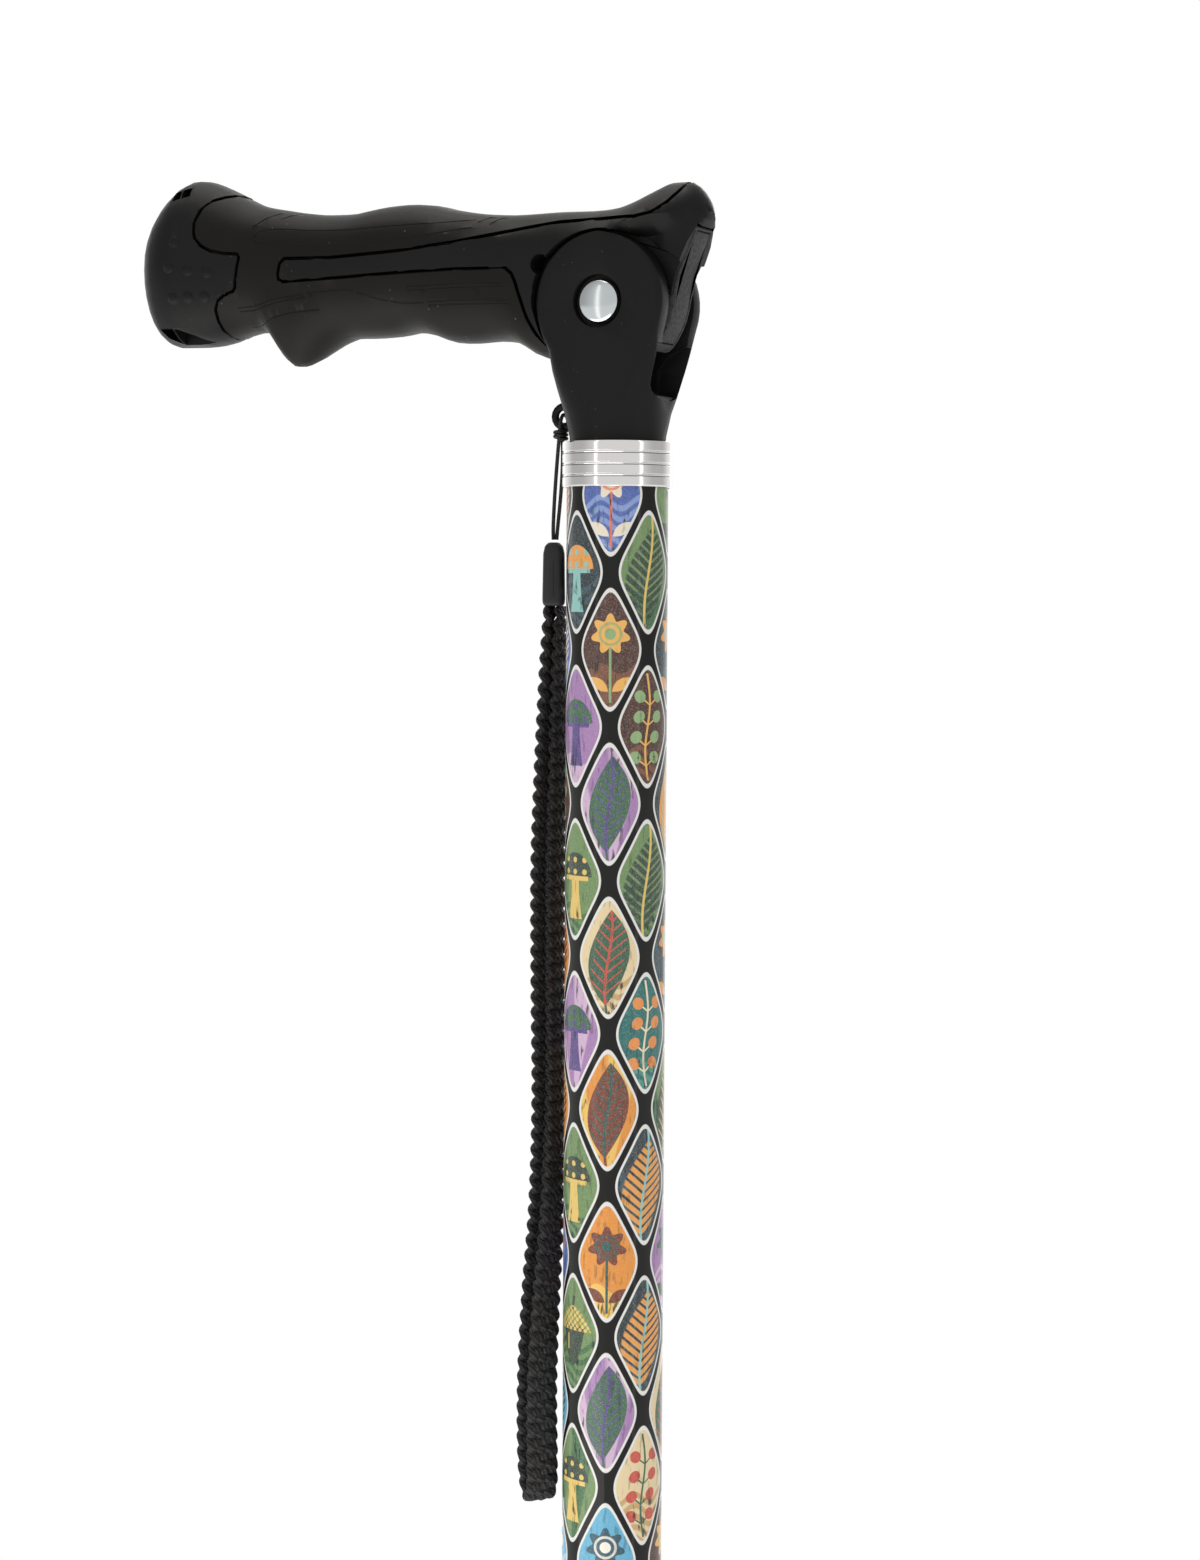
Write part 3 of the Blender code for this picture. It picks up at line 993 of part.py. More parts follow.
def make_cap_openings():
    """The lanyard slot near the cap's top and the ribbed scoop under it, on both sides."""
    outlines = {
        "lanyard_left": [(-106.6, 26.3), (-105.0, 26.7), (-105.3, 28.4), (-106.9, 28.0)],
        "lanyard_right": [(-104.4, 26.8), (-102.8, 27.3), (-103.1, 29.0), (-104.7, 28.5)],
        "scoop_left": [(-111.5, -2.5), (-108.2, -2.5), (-108.2, -5.5), (-110.4, -4.3)],
        "scoop_right": [(-107.5, -2.8), (-103.0, -4.5), (-98.9, -6.6), (-98.9, -12.0), (-107.5, -12.0)],
    }
    blocks = []
    for name, outline in outlines.items():
        inner = LANYARD_INNER_Y if name.startswith("lanyard") else SCOOP_INNER_Y
        for side in (-1, 1):
            low, high = sorted((side * inner, side * 40 * MM))
            blocks.append(prism(f"{name}_{side + 1}", outline, low, high, cutter=True, parent=pivot))
    return joined("cap_openings", blocks, parent=pivot, cutter=True)


def make_lever():
    """Rocking latch lever with its tooth, grip pad, pin and return spring."""
    lever = prism("latch_lever", LEVER_OUTER + LEVER_INNER, -LEVER_HALF_WIDTH, LEVER_HALF_WIDTH, LEVER_GREY,
                  pivot)
    boss = across("lever_boss", LEVER_BOSS_R, -LEVER_HALF_WIDTH + 0.2 * MM, LEVER_HALF_WIDTH - 0.2 * MM,
                  pivot, (LEVER_PIN_X, LEVER_PIN_Z), sides=16)
    half = TOOTH_HALF_THICKNESS / MM
    tip = (DISC_R - NOTCH_DEPTH) / MM
    tooth = prism("lever_tooth", [(tip, -half * 0.8), (tip + 4.6, -half), (tip + 4.6, half),
                                  (tip, half * 0.8)],
                  -TOOTH_HALF_WIDTH, TOOTH_HALF_WIDTH, cutter=True, parent=pivot)
    swing(tooth, NOTCH_ANGLE)
    boolean(lever, boss, "UNION")
    boolean(lever, tooth, "UNION")
    pad_line = ([pull(LEVER_OUTER[0], LEVER_OUTER[1], PAD_INSET / MM)] + LEVER_OUTER[1:9]
                + [pull(LEVER_OUTER[9], LEVER_OUTER[8], PAD_INSET / MM)])
    inner_line = [tuple(p) for p in offset_line(pad_line, -PAD_THICKNESS / MM)]
    recess_line = [tuple(p) for p in offset_line(pad_line, -(PAD_THICKNESS + SEAT) / MM)]
    proud_line = [tuple(p) for p in offset_line(pad_line, 3.0)]
    recess = prism("pad_recess", proud_line + recess_line[::-1], -LEVER_HALF_WIDTH + 0.5 * MM,
                   LEVER_HALF_WIDTH - 0.5 * MM, cutter=True, parent=pivot)
    bore = across("lever_bore", LEVER_PIN_R + SEAT, -30 * MM, 30 * MM, pivot, (LEVER_PIN_X, LEVER_PIN_Z),
                  sides=12)
    cut(lever, recess, bore)
    trim = [pull(pad_line[0], pad_line[1], SEAT / MM)] + pad_line[1:-1] + [pull(pad_line[-1], pad_line[-2],
                                                                                SEAT / MM)]
    trim_inner = ([pull(inner_line[0], inner_line[1], SEAT / MM)] + inner_line[1:-1]
                  + [pull(inner_line[-1], inner_line[-2], SEAT / MM)])
    pad = prism("lever_pad", trim + trim_inner[::-1], -LEVER_HALF_WIDTH + 0.8 * MM,
                LEVER_HALF_WIDTH - 0.8 * MM, LEVER_GREY, pivot)
    for thing in (lever, boss, tooth, recess, bore, pad):
        hang(thing, lever_axis)
    pin = turned("lever_pin", rod(LEVER_PIN_R, -EAR_HALF_WIDTH + 0.1 * MM, EAR_HALF_WIDTH - 0.1 * MM),
                 STEEL, parent=pivot, sides=12)
    lay_across(pin, (LEVER_PIN_X, LEVER_PIN_Z))
    low, high = SPRING_POCKET_X + SEAT + SPRING_WIRE_R, 15.3 * MM - SEAT - SPRING_WIRE_R
    coil = [(low + (high - low) * i / (SPRING_TURNS * 10),
             SPRING_COIL_R * math.cos(2 * math.pi * i / 10), SPRING_SEAT_Z
             + SPRING_COIL_R * math.sin(2 * math.pi * i / 10))
            for i in range(SPRING_TURNS * 10 + 1)]
    wire("lever_spring", coil, SPRING_WIRE_R, STEEL, pivot, roundness=0)


def offset_line(points, by):
    """An open line moved sideways by a distance in millimetres; a line that runs down moves to its right."""
    moved = []
    for i, here in enumerate(points):
        before, after = Vector(points[max(i - 1, 0)]), Vector(points[min(i + 1, len(points) - 1)])
        step = (after - before).normalized()
        moved.append(Vector(here) + Vector((-step.y, step.x)) * by)
    return moved


def pull(point, towards, by):
    """A point moved towards another, millimetres."""
    start, end = Vector(point), Vector(towards)
    return tuple(start + (end - start).normalized() * by)


def wire(name, points, radius, material, parent=None, roundness=2):
    """A round tube along points."""
    curve = bpy.data.curves.new(name, "CURVE")
    curve.dimensions = "3D"
    curve.twist_mode = "Z_UP"
    curve.use_fill_caps = True
    curve.materials.append(material)
    curve.bevel_depth = radius
    curve.bevel_resolution = roundness
    line = curve.splines.new("POLY")
    line.points.add(len(points) - 1)
    for point, place in zip(line.points, points):
        point.co = (*place, 1.0)
    thing = bpy.data.objects.new(name, curve)
    PARTS.objects.link(thing)
    thing.parent = parent
    return thing


def smooth_route(route, count):
    """Evenly spaced points on a smooth curve through a hand-chosen route."""
    knots = [Vector(p) for p in route]
    fine = []
    for i in range(len(knots) - 1):
        a, b = knots[i], knots[i + 1]
        before = knots[i - 1] if i else a + (a - b)
        after = knots[i + 2] if i + 2 < len(knots) else b + (b - a)
        spans = [max((q - p).length, 1e-6) ** 0.5 for p, q in ((before, a), (a, b), (b, after))]
        m1 = ((a - before) / spans[0] - (b - before) / (spans[0] + spans[1])
              + (b - a) / spans[1]) * spans[1]
        m2 = ((b - a) / spans[1] - (after - a) / (spans[1] + spans[2]) + (after - b) / spans[2]) * spans[1]
        for k in range(12):
            t = k / 12
            fine.append(a * (2 * t ** 3 - 3 * t ** 2 + 1) + m1 * (t ** 3 - 2 * t ** 2 + t)
                        + b * (3 * t ** 2 - 2 * t ** 3) + m2 * (t ** 3 - t ** 2))
    fine.append(knots[-1])
    lengths = [0.0]
    for a, b in zip(fine, fine[1:]):
        lengths.append(lengths[-1] + (b - a).length)
    marks = np.linspace(0.0, lengths[-1], count)
    columns = [np.interp(marks, lengths, [p[k] for p in fine]) for k in range(len(fine[0]))]
    return list(zip(*columns))


def make_strap():
    """Thin cord loop on the lug, its hitch, the crimp cap and the braided wrist loop."""
    loop = [(x * MM, y * MM, PIVOT_Z + z * MM) for x, y, z in smooth_route(LOOP_ROUTE, LOOP_POINTS)]
    wire("cord_loop", loop, CORD_R, BRAID)

    inner = 0.72 * MM + CORD_R + SEAT
    bpy.ops.mesh.primitive_torus_add(major_radius=inner + HITCH_WIRE_R, minor_radius=HITCH_WIRE_R,
                                     major_segments=16, minor_segments=6,
                                     location=(HITCH_X, 0, PIVOT_Z + HITCH_Z))
    hitch = bpy.context.object
    hitch.name = "cord_hitch"
    for held in list(hitch.users_collection):
        held.objects.unlink(hitch)
    PARTS.objects.link(hitch)
    hitch.data.materials.append(BRAID)

    turn = math.radians(CRIMP_TURN)
    side, depth = Vector((math.cos(turn), math.sin(turn), 0)), Vector((-math.sin(turn), math.cos(turn), 0))
    middle = side * (-13.9 * MM) + depth * (6.2 * MM)
    rings = []
    for z, shrink in ((0.0, 0.5), (0.5, 0.1), (1.5, 0.0), (11.5, 0.15), (13.2, 0.5), (14.0, 1.3)):
        ring = rounded_ring(0.0, CRIMP_DEPTH / 2 - shrink * MM, CRIMP_WIDTH / 2 - shrink * MM, 1.5 * MM)
        height = STRAP_TOP - CRIMP_LENGTH + z / 14.0 * CRIMP_LENGTH
        rings.append([middle + side * x + depth * y + Vector((0, 0, height)) for x, y, _ in ring])
    loft("crimp_cap", rings, HARD_BLACK)

    points, tilts = [], []
    for across_mm, depth_mm, z, twist in smooth_route(STRAP_ROUTE, STRAP_POINTS):
        place = side * (across_mm * MM) + depth * (depth_mm * MM)
        points.append((place.x, place.y, PIVOT_Z + z * MM))
        tilts.append(math.radians(twist))
    ribbon("wrist_strap", points, tilts, turn)


def ribbon(name, points, tilts, base_turn):
    """The flat braid as a loft of rounded sections that keep the braid's own facing along the route."""
    rings = []
    for i, place in enumerate(points):
        before, after = Vector(points[max(i - 1, 0)]), Vector(points[min(i + 1, len(points) - 1)])
        step = (after - before).normalized()
        angle = base_turn + math.pi / 2 - tilts[i]
        wide = Vector((math.cos(angle), math.sin(angle), 0.0))
        wide = (wide - step * wide.dot(step)).normalized()
        thick = step.cross(wide)
        rings.append([Vector(place) + wide * (BRAID_WIDTH / 2 * math.cos(2 * math.pi * k / 12))
                      + thick * (BRAID_THICKNESS / 2 * math.sin(2 * math.pi * k / 12)) for k in range(12)])
    loft(name, rings, BRAID)


make_fork()
make_collar()
make_tubes()
make_button()
make_ring_group()
make_ferrule()
make_pivot_hardware()
make_handle()
make_lever()
make_strap()
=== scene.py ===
"""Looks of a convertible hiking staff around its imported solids.

The rubber-skinned cane handle, latch lever, fork, ribbed collar, printed telescopic shaft, foot and braided wrist
strap are finished here in metres, in the frame of the solids: +Z up the shaft, grip towards -X, seen side -Y.
"""
from __future__ import annotations

import logging
import math
from collections.abc import Callable, Iterator, Sequence
from contextlib import contextmanager
from dataclasses import dataclass
from enum import Enum

import bmesh
import bpy
from mathutils import Matrix, Vector
from mathutils.bvhtree import BVHTree


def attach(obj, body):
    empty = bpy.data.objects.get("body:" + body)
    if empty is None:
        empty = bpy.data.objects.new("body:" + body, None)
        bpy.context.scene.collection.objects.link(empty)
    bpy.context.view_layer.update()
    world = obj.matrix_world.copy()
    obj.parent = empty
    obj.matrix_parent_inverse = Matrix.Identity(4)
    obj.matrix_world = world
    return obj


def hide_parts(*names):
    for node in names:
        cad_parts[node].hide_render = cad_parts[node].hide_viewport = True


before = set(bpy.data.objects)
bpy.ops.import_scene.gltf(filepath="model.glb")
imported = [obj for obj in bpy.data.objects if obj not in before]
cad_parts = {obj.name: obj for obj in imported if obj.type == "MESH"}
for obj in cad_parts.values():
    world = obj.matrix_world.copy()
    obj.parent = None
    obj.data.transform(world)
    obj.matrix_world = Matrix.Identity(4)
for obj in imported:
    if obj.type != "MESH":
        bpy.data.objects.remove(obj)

LOG = logging.getLogger("hiking_staff")
MM = 0.001
PIVOT_Z = 0.87035
WELD = 0.004 * MM
SLIVER = 0.003 * MM
FLATNESS = math.radians(0.6)
TOUCH = 1e-6
TINY = 1e-9
CORD_ANGLE = 60.0
ROUTE_STEPS = 24
PRINT_EDGE = 0.10
WHITE = (1.0, 1.0, 1.0, 1.0)
Number = "Field | float"
Pair = tuple[float, float]
Point = tuple[float, float, float]
Rgb = tuple[float, float, float]
Colour = tuple[float, float, float, float]
Knot = tuple[float, float, float, float]
Frame = tuple[Vector, Vector, Vector]


class Body(str, Enum):
    """The rigid groups that the solids move in."""

    HEAD = "shaft_head"
    HANDLE = "handle"
    LEVER = "lever"
    LOWER = "lower_shaft"
    BUTTON = "button"
    RING = "ring"


class Motif(Enum):
    """The small emblems that the printed film alternates."""

    LEAF = 0
    BLOSSOM = 1
    BERRIES = 2
    FERN = 3
    TOADSTOOL = 4
    ACORN = 5


def srgb(code: str) -> Colour:
    """Gives the linear colour of a hexadecimal screen colour.

    Args:
        code: Six hexadecimal digits.

    Returns:
        Linear red, green, blue and full alpha.
    """
    parts = [int(code[i:i + 2], 16) / 255 for i in (0, 2, 4)]
    linear = [p / 12.92 if p <= 0.04045 else ((p + 0.055) / 1.055) ** 2.4 for p in parts]
    return (*linear, 1.0)


def opaque(colour: Sequence[float], gain: float = 1.0, lift: float = 0.0) -> Colour:
    """Gives a colour with full alpha, each of its parts times gain plus lift."""
    return (*(part * gain + lift for part in colour), 1.0)


def node_method(operation: str, flipped: bool = False) -> Callable[..., Field]:
    """Makes a method of Field that adds one Math node.

    Args:
        operation: The node's operation.
        flipped: Whether the field comes after the other value.

    Returns:
        The method.
    """
    def method(self: Field, *others: Number) -> Field:
        """Adds the node on the field and the other values."""
        return self.graph.math(operation, *((*others, self) if flipped else (self, *others)))
    return method


@dataclass(frozen=True)
class Field:
    """A number socket of a shader, on which Python's operators add Math nodes."""

    graph: Graph
    socket: bpy.types.NodeSocket

    __add__ = __radd__ = node_method("ADD")
    __mul__ = __rmul__ = node_method("MULTIPLY")
    __sub__ = node_method("SUBTRACT")
    __rsub__ = node_method("SUBTRACT", flipped=True)
    __truediv__ = node_method("DIVIDE")
    __abs__ = node_method("ABSOLUTE")
    floor = node_method("FLOOR")
    fract = node_method("FRACT")
    sine = node_method("SINE")
    cosine = node_method("COSINE")
    arctangent = node_method("ARCTAN2")
    modulo = node_method("FLOORED_MODULO")
    smaller = node_method("MINIMUM")
    larger = node_method("MAXIMUM")
    power = node_method("POWER")

    def __neg__(self) -> Field:
        """Changes the sign."""
        return self * -1.0

    def equals(self, number: float) -> Field:
        """Gives 1 where the field is that whole number, and 0 elsewhere."""
        return self.graph.math("COMPARE", self, number, 0.25)

    def inside(self, softness: float) -> Field:
        """Turns a distance that is positive inside a shape into a mask with a soft edge of that width."""
        return self.graph.math("MULTIPLY_ADD", self, 1.0 / softness, 0.5, clamp=True)

    def crisp(self) -> Field:
        """Turns a distance in millimetres into a mask with a printed shape's edge."""
        return self.inside(PRINT_EDGE)

    def within(self, half: float, softness: float = PRINT_EDGE) -> Field:
        """Gives a mask of what lies less than half away from zero."""
        return (half - abs(self)).inside(softness)

    def repeat(self, pitch: float) -> Field:
        """Repeats a length at every pitch, so that it runs from -pitch / 2 to pitch / 2."""
        return ((self / pitch).fract() - 0.5) * pitch


class Graph:
    """The node tree of one material or of the world, built from expressions."""

    def __init__(self, owner: bpy.types.Material | bpy.types.World) -> None:
        """Opens the tree.

        Args:
            owner: The new material or world.
        """
        owner.use_nodes = True
        self.owner, self.tree = owner, owner.node_tree
        self.shader = self.tree.nodes.get("Principled BSDF")

    @classmethod
    def material(cls, name: str) -> Graph:
        """Starts a material with its Principled shader."""
        return cls(bpy.data.materials.new(name))

    def node(self, kind: str, settings: dict | None = None, inputs: dict | None = None) -> bpy.types.Node:
        """Adds a node, sets it and feeds it.

        Args:
            kind: The node's type.
            settings: Its properties.
            inputs: Values, fields or sockets by socket name or number.

        Returns:
            The node.
        """
        made = self.tree.nodes.new(kind)
        for name, value in (settings or {}).items():
            setattr(made, name, value)
        for name, value in (inputs or {}).items():
            self.feed(made.inputs[name], value)
        return made

    def feed(self, socket: bpy.types.NodeSocket, value: object) -> None:
        """Sets a socket to a value, or links a field or socket to it.

        Args:
            socket: The input.
            value: What goes in.
        """
        if isinstance(value, Field):
            self.tree.links.new(value.socket, socket)
        elif isinstance(value, bpy.types.NodeSocket):
            self.tree.links.new(value, socket)
        else:
            socket.default_value = value

    def set(self, **values: object) -> None:
        """Feeds the Principled shader's sockets, named with underscores for spaces."""
        for name, value in values.items():
            self.feed(self.shader.inputs[name.replace("_", " ")], value)

    def math(self, operation: str, *values: Number, clamp: bool = False) -> Field:
        """Adds a Math node.

        Args:
            operation: Its operation.
            values: Its one to three inputs.
            clamp: Whether the result stays between 0 and 1.

        Returns:
            The result.
        """
        made = self.node("ShaderNodeMath", {"operation": operation, "use_clamp": clamp},
                         dict(enumerate(values)))
        return Field(self, made.outputs[0])

    def mix(self, factor: Number, first: object, second: object, kind: str = "RGBA") -> bpy.types.NodeSocket:
        """Mixes two colours or numbers.

        Args:
            factor: Share of the second.
            first: Value or socket.
            second: Value or socket.
            kind: RGBA for colours, FLOAT for numbers.

        Returns:
            The mixture's socket.
        """
        start, result = (6, 2) if kind == "RGBA" else (2, 0)
        made = self.node("ShaderNodeMix", {"data_type": kind}, {0: factor, start: first, start + 1: second})
        return made.outputs[result]

    def place(self) -> bpy.types.NodeSocket:
        """Gives the Object coordinates."""
        return self.node("ShaderNodeTexCoord").outputs["Object"]

    def parts(self, vector: bpy.types.NodeSocket) -> list[Field]:
        """Splits a vector or a colour into its three numbers."""
        split = self.node("ShaderNodeSeparateXYZ", inputs={0: vector})
        return [Field(self, output) for output in split.outputs]

    def noise(self, scale: float, detail: float = 2.0, stretch: Point = (1.0, 1.0, 1.0)) -> Field:
        """Gives a noise between 0 and 1.

        Args:
            scale: Waves in a metre.
            detail: Finer layers.
            stretch: Scale along each axis.

        Returns:
            The noise.
        """
        where = self.node("ShaderNodeMapping", inputs={"Vector": self.place(), "Scale": stretch}).outputs[0]
        made = self.node("ShaderNodeTexNoise", inputs={"Vector": where, "Scale": scale, "Detail": detail})
        return Field(self, made.outputs[0])

    def bump(self, height: Field, distance: float) -> None:
        """Feeds a height field to the shader's normal; distance is what a height of 1 stands for, in metres."""
        made = self.node("ShaderNodeBump", inputs={"Height": height, "Distance": distance, "Strength": 1.0})
        self.feed(self.shader.inputs["Normal"], made.outputs[0])


@dataclass(frozen=True)
class Moulding:
    """A moulded plastic or rubber: fine spark grain, soft mottling of its gloss, a little dust or pale flecks.

    Each pale tone is a gain and a lift of the colour.
    """

    name: str
    colour: Rgb
    roughness: float
    specular: float = 0.3
    grain: float = 3200.0
    grain_depth: float = 0.008 * MM
    dust: float = 0.0
    fleck: float = 0.0
    mottle_scale: float = 60.0
    mottle_share: float = 0.35
    mottle_gloss: float = 0.16
    grain_gloss: float = 0.08
    dust_cells: float = 620.0
    dust_clouds: float = 140.0
    dust_colour: Colour = (0.30, 0.29, 0.27, 1.0)
    pale: Pair = (1.9, 0.004)
    fleck_pale: Pair = (3.2, 0.006)

    def build(self) -> bpy.types.Material:
        """Makes the material.

        Returns:
            The material.
        """
        graph = Graph.material(self.name)
        mottle = graph.noise(self.mottle_scale, 3.0)
        fine = graph.noise(self.grain)
        colour = graph.mix(mottle * self.mottle_share, opaque(self.colour), opaque(self.colour, *self.pale))
        if self.dust:
            cells = graph.node("ShaderNodeTexVoronoi", {"feature": "F1"},
                               {"Vector": graph.place(), "Scale": self.dust_cells, "Randomness": 1.0})
            rare = graph.noise(self.dust_clouds, 1.0)
            speck = (0.09 - Field(graph, cells.outputs["Distance"])).inside(0.05) * (rare - 0.62).inside(0.06)
            colour = graph.mix(speck * self.dust, colour, self.dust_colour)
        if self.fleck:
            flecks = (graph.noise(self.grain * 0.7, 3.0) - 0.5).inside(0.3)
            colour = graph.mix(flecks * self.fleck, colour, opaque(self.colour, *self.fleck_pale))
        rough = self.roughness + (mottle - 0.5) * self.mottle_gloss + (fine - 0.5) * self.grain_gloss
        graph.set(Base_Color=colour, Roughness=rough, Specular_IOR_Level=self.specular)
        graph.bump(fine, self.grain_depth)
        return graph.owner


@dataclass(frozen=True)
class Metal:
    """A metal with turning marks where they have a depth, or with painted shade lines at some heights in metres."""

    name: str
    colour: Rgb
    roughness: float
    marks: float = 0.0
    marks_stretch: Point = (12.0, 12.0, 900.0)
    marks_scale: float = 9.0
    marks_gloss: float = 0.2
    tint: float = 0.10
    cloud: float = 0.5
    cloud_scale: float = 90.0
    # Heights of the painted shade lines, then their half width, soft edge, share and colour.
    painted_shade_lines: tuple[float, ...] = ()
    line_half: float = 0.10 * MM
    line_edge: float = 0.16 * MM
    painted_shade_share: float = 0.8
    painted_shade_colour: Colour = (0.20, 0.20, 0.21, 1.0)

    def build(self) -> bpy.types.Material:
        """Makes the material.

        Returns:
            The material.
        """
        graph = Graph.material(self.name)
        base = opaque(self.colour)
        if self.painted_shade_lines:
            # Painted shade: a thin darker line at each height stands in for the shade that falls low in a groove.
            height = graph.parts(graph.place())[2]
            shade: Number = 0.0
            for line in self.painted_shade_lines:
                shade = (height - line).within(self.line_half, self.line_edge).larger(shade)
            colour: object = graph.mix(shade * self.painted_shade_share, base, self.painted_shade_colour)
            rough: Number = self.roughness
        else:
            pattern = cloud = graph.noise(self.cloud_scale)
            rough = self.roughness + (cloud - 0.5) * self.roughness * self.cloud
            if self.marks:
                pattern = graph.noise(self.marks_scale, 4.0, self.marks_stretch)
                rough = rough + (pattern - 0.5) * self.marks_gloss
                graph.bump(pattern, self.marks)
            colour = graph.mix(pattern, opaque(self.colour, 1.0 - self.tint), base)
        graph.set(Base_Color=colour, Metallic=1.0, Roughness=rough)
        return graph.owner


@dataclass(frozen=True)
class BraidYarn:
    """Black polyester yarn: twisted filaments along each strand, with painted sheen on their crests and a painted
    glint on the odd fibre.
    """

    name: str
    filaments: float = 5.0
    twist: float = 0.9
    # Painted shade and sheen: furrow and crest tones of the yarn, then the colour of the painted glint.
    dark: Colour = (0.007, 0.0064, 0.0064, 1.0)
    pale: Colour = (0.026, 0.024, 0.024, 1.0)
    painted_glint_colour: Colour = (0.085, 0.085, 0.092, 1.0)
    relief: float = 0.11 * MM
    roughness: float = 0.62
    specular: float = 0.35
    fibre_grain: float = 5200.0

    def build(self) -> bpy.types.Material:
        """Makes the material.

        Returns:
            The material.
        """
        graph = Graph.material(self.name)
        along, around, _ = graph.parts(graph.node("ShaderNodeUVMap").outputs[0])
        # Painted sheen and shade: the colour is paler on the filament crests and darker in the furrows, as the
        # relief is.
        thread = ((around * self.filaments + along * self.twist) * math.tau).sine() * 0.5 + 0.5
        cross = ((along * 2.3 - around * 2.0) * math.tau).sine() * 0.5 + 0.5
        fibre = graph.noise(self.fibre_grain, 1.0)
        # Painted highlight: the crest of the odd fibre gets a pale glint colour, and is glossier as well.
        glint = (thread - 0.82).inside(0.25) * (fibre - 0.56).inside(0.1) * (cross - 0.5).inside(0.5)
        colour = graph.mix(glint * 0.8, graph.mix(thread, self.dark, self.pale), self.painted_glint_colour)
        graph.set(Base_Color=colour, Roughness=self.roughness - glint * 0.2, Specular_IOR_Level=self.specular)
        graph.bump(thread * 0.7 + cross * 0.3, self.relief)
        return graph.owner


Drawing = tuple[Field, Field]


@dataclass(frozen=True)
class Emblem:
    """The pictures of the film at a point that lies x and y millimetres from the middle of its lozenge."""

    x: Field
    y: Field

    def leaf(self) -> Drawing:
        """Draws a broad leaf with its ribs.

        Returns:
            Its main shape and its accents.
        """
        x, y = self.x, self.y
        bent = x - (y * 0.22).sine() * 0.8
        blade = (1.0 - (y * y) / 110.0) * 4.5 - abs(bent)
        veins = (y - abs(bent) * 0.9).repeat(2.3).within(0.22) * bent.within(3.4, 0.6)
        stem = bent.within(0.28) * y.within(12.2)
        shape = blade.crisp()
        return shape.larger(stem * (-y).inside(1.0)), veins.larger(stem) * shape

    def blossom(self) -> Drawing:
        """Draws a round flower on a stalk with two leaves.

        Returns:
            Its main shape and its accents.
        """
        x, y = self.x, self.y
        up = y - 3.4
        angle = x.arctangent(up)
        reach = (x * x + up * up).power(0.5)
        petals = (angle * 7.0).cosine() * 0.75 + 3.7 - reach
        heart = 1.25 - reach
        stalk = x.within(0.28) * (0.6 - y).inside(0.4) * (y + 11.4).crisp()
        side = abs(x) * 0.8 + (y + 8.2) * 0.6 - 2.4
        off = (y + 8.2) * 0.8 - abs(x) * 0.6 + 0.9
        leaves = ((1.0 - side * side / 6.5) * 1.15 - abs(off)).crisp()
        ring = (reach - 2.3).within(0.28)
        return petals.crisp().larger(leaves), heart.crisp().larger(ring * 0.8).larger(stalk)

    def berries(self) -> Drawing:
        """Draws a twig with paired berries.

        Returns:
            Its main shape and its accents.
        """
        x, y = self.x, self.y
        bent = x - (y * 0.3).sine() * 0.6
        row = y.repeat(4.4)
        off = abs(bent) - 2.5
        fruit = 1.35 - (off * off + row * row).power(0.5)
        keep = (y + 0.4).within(8.6)
        twig = bent.within(0.26) * y.within(11.6)
        arms = (row + 1.9 - abs(bent) * 0.75).within(0.22) * bent.within(2.4)
        return twig.larger(arms * keep), fruit.crisp() * keep

    def fern(self) -> Drawing:
        """Draws a frond of slanted leaflets.

        Returns:
            Its main shape and its accents.
        """
        x, y = self.x, self.y
        bent = x - (y * 0.18).sine() * 1.1
        outline = (1.0 - (y + 1.0) * (y + 1.0) / 118.0) * 5.2 - abs(bent)
        fronds = (y - abs(bent) * 0.75).repeat(1.9).within(0.62) * outline.inside(0.5)
        return fronds, bent.within(0.3) * y.within(12.0)

    def toadstool(self) -> Drawing:
        """Draws a spotted cap on a stout stem.

        Returns:
            Its main shape and its accents.
        """
        x, y = self.x, self.y
        up = y - 0.4
        cap = (1.0 - (x * x / 23.0 + up * up / 30.0)) * 3.0
        cap = cap.smaller(up + (x * 0.5).cosine() * 0.5)
        stem = (1.25 + up * up * 0.012 - abs(x)).smaller(0.2 - up).smaller(up + 9.0)
        spot_x, spot_y = (x / 2.9 + 0.5).fract() - 0.5, (up / 2.6).fract() - 0.5
        spots = 0.62 - ((spot_x * spot_x * 8.4 + spot_y * spot_y * 6.8).power(0.5))
        gills = (up + 0.1).within(0.5) * x.within(3.9)
        return cap.crisp(), stem.crisp().larger(spots.inside(0.12) * cap.inside(0.2)).larger(gills)

    def acorn(self) -> Drawing:
        """Draws a nut in its scaled cup.

        Returns:
            Its main shape and its accents.
        """
        x, y = self.x, self.y
        up = y - 1.8
        nut = ((1.0 - x * x / 13.5) * 9.0 + up).smaller(-up).smaller(3.55 - abs(x))
        cup = ((1.0 - x * x / 22.0) * 4.4 - up).smaller(up + 1.1)
        scales = (((x + up) / 1.5).fract() - 0.5) * (((x - up) / 1.5).fract() - 0.5)
        tail = (0.42 - abs(x - (up - 4.0) * 0.15)).smaller(6.6 - up).smaller(up - 3.5)
        shine = (0.3 - abs(x + 1.6)).smaller(-up - 2.0).smaller(up + 5.5)
        net = (abs(scales) * 4.0 - 0.14).inside(0.2) * cup.crisp()
        return nut.crisp().larger(tail.crisp()), net.larger(shine.crisp() * 0.7)

    def draw(self, motif: Motif) -> Drawing:
        """Draws one motif.

        Args:
            motif: Which of them.

        Returns:
            Its main shape and its accents.
        """
        makers = {Motif.LEAF: self.leaf, Motif.BLOSSOM: self.blossom, Motif.BERRIES: self.berries,
                  Motif.FERN: self.fern, Motif.TOADSTOOL: self.toadstool, Motif.ACORN: self.acorn}
        return makers[motif]()


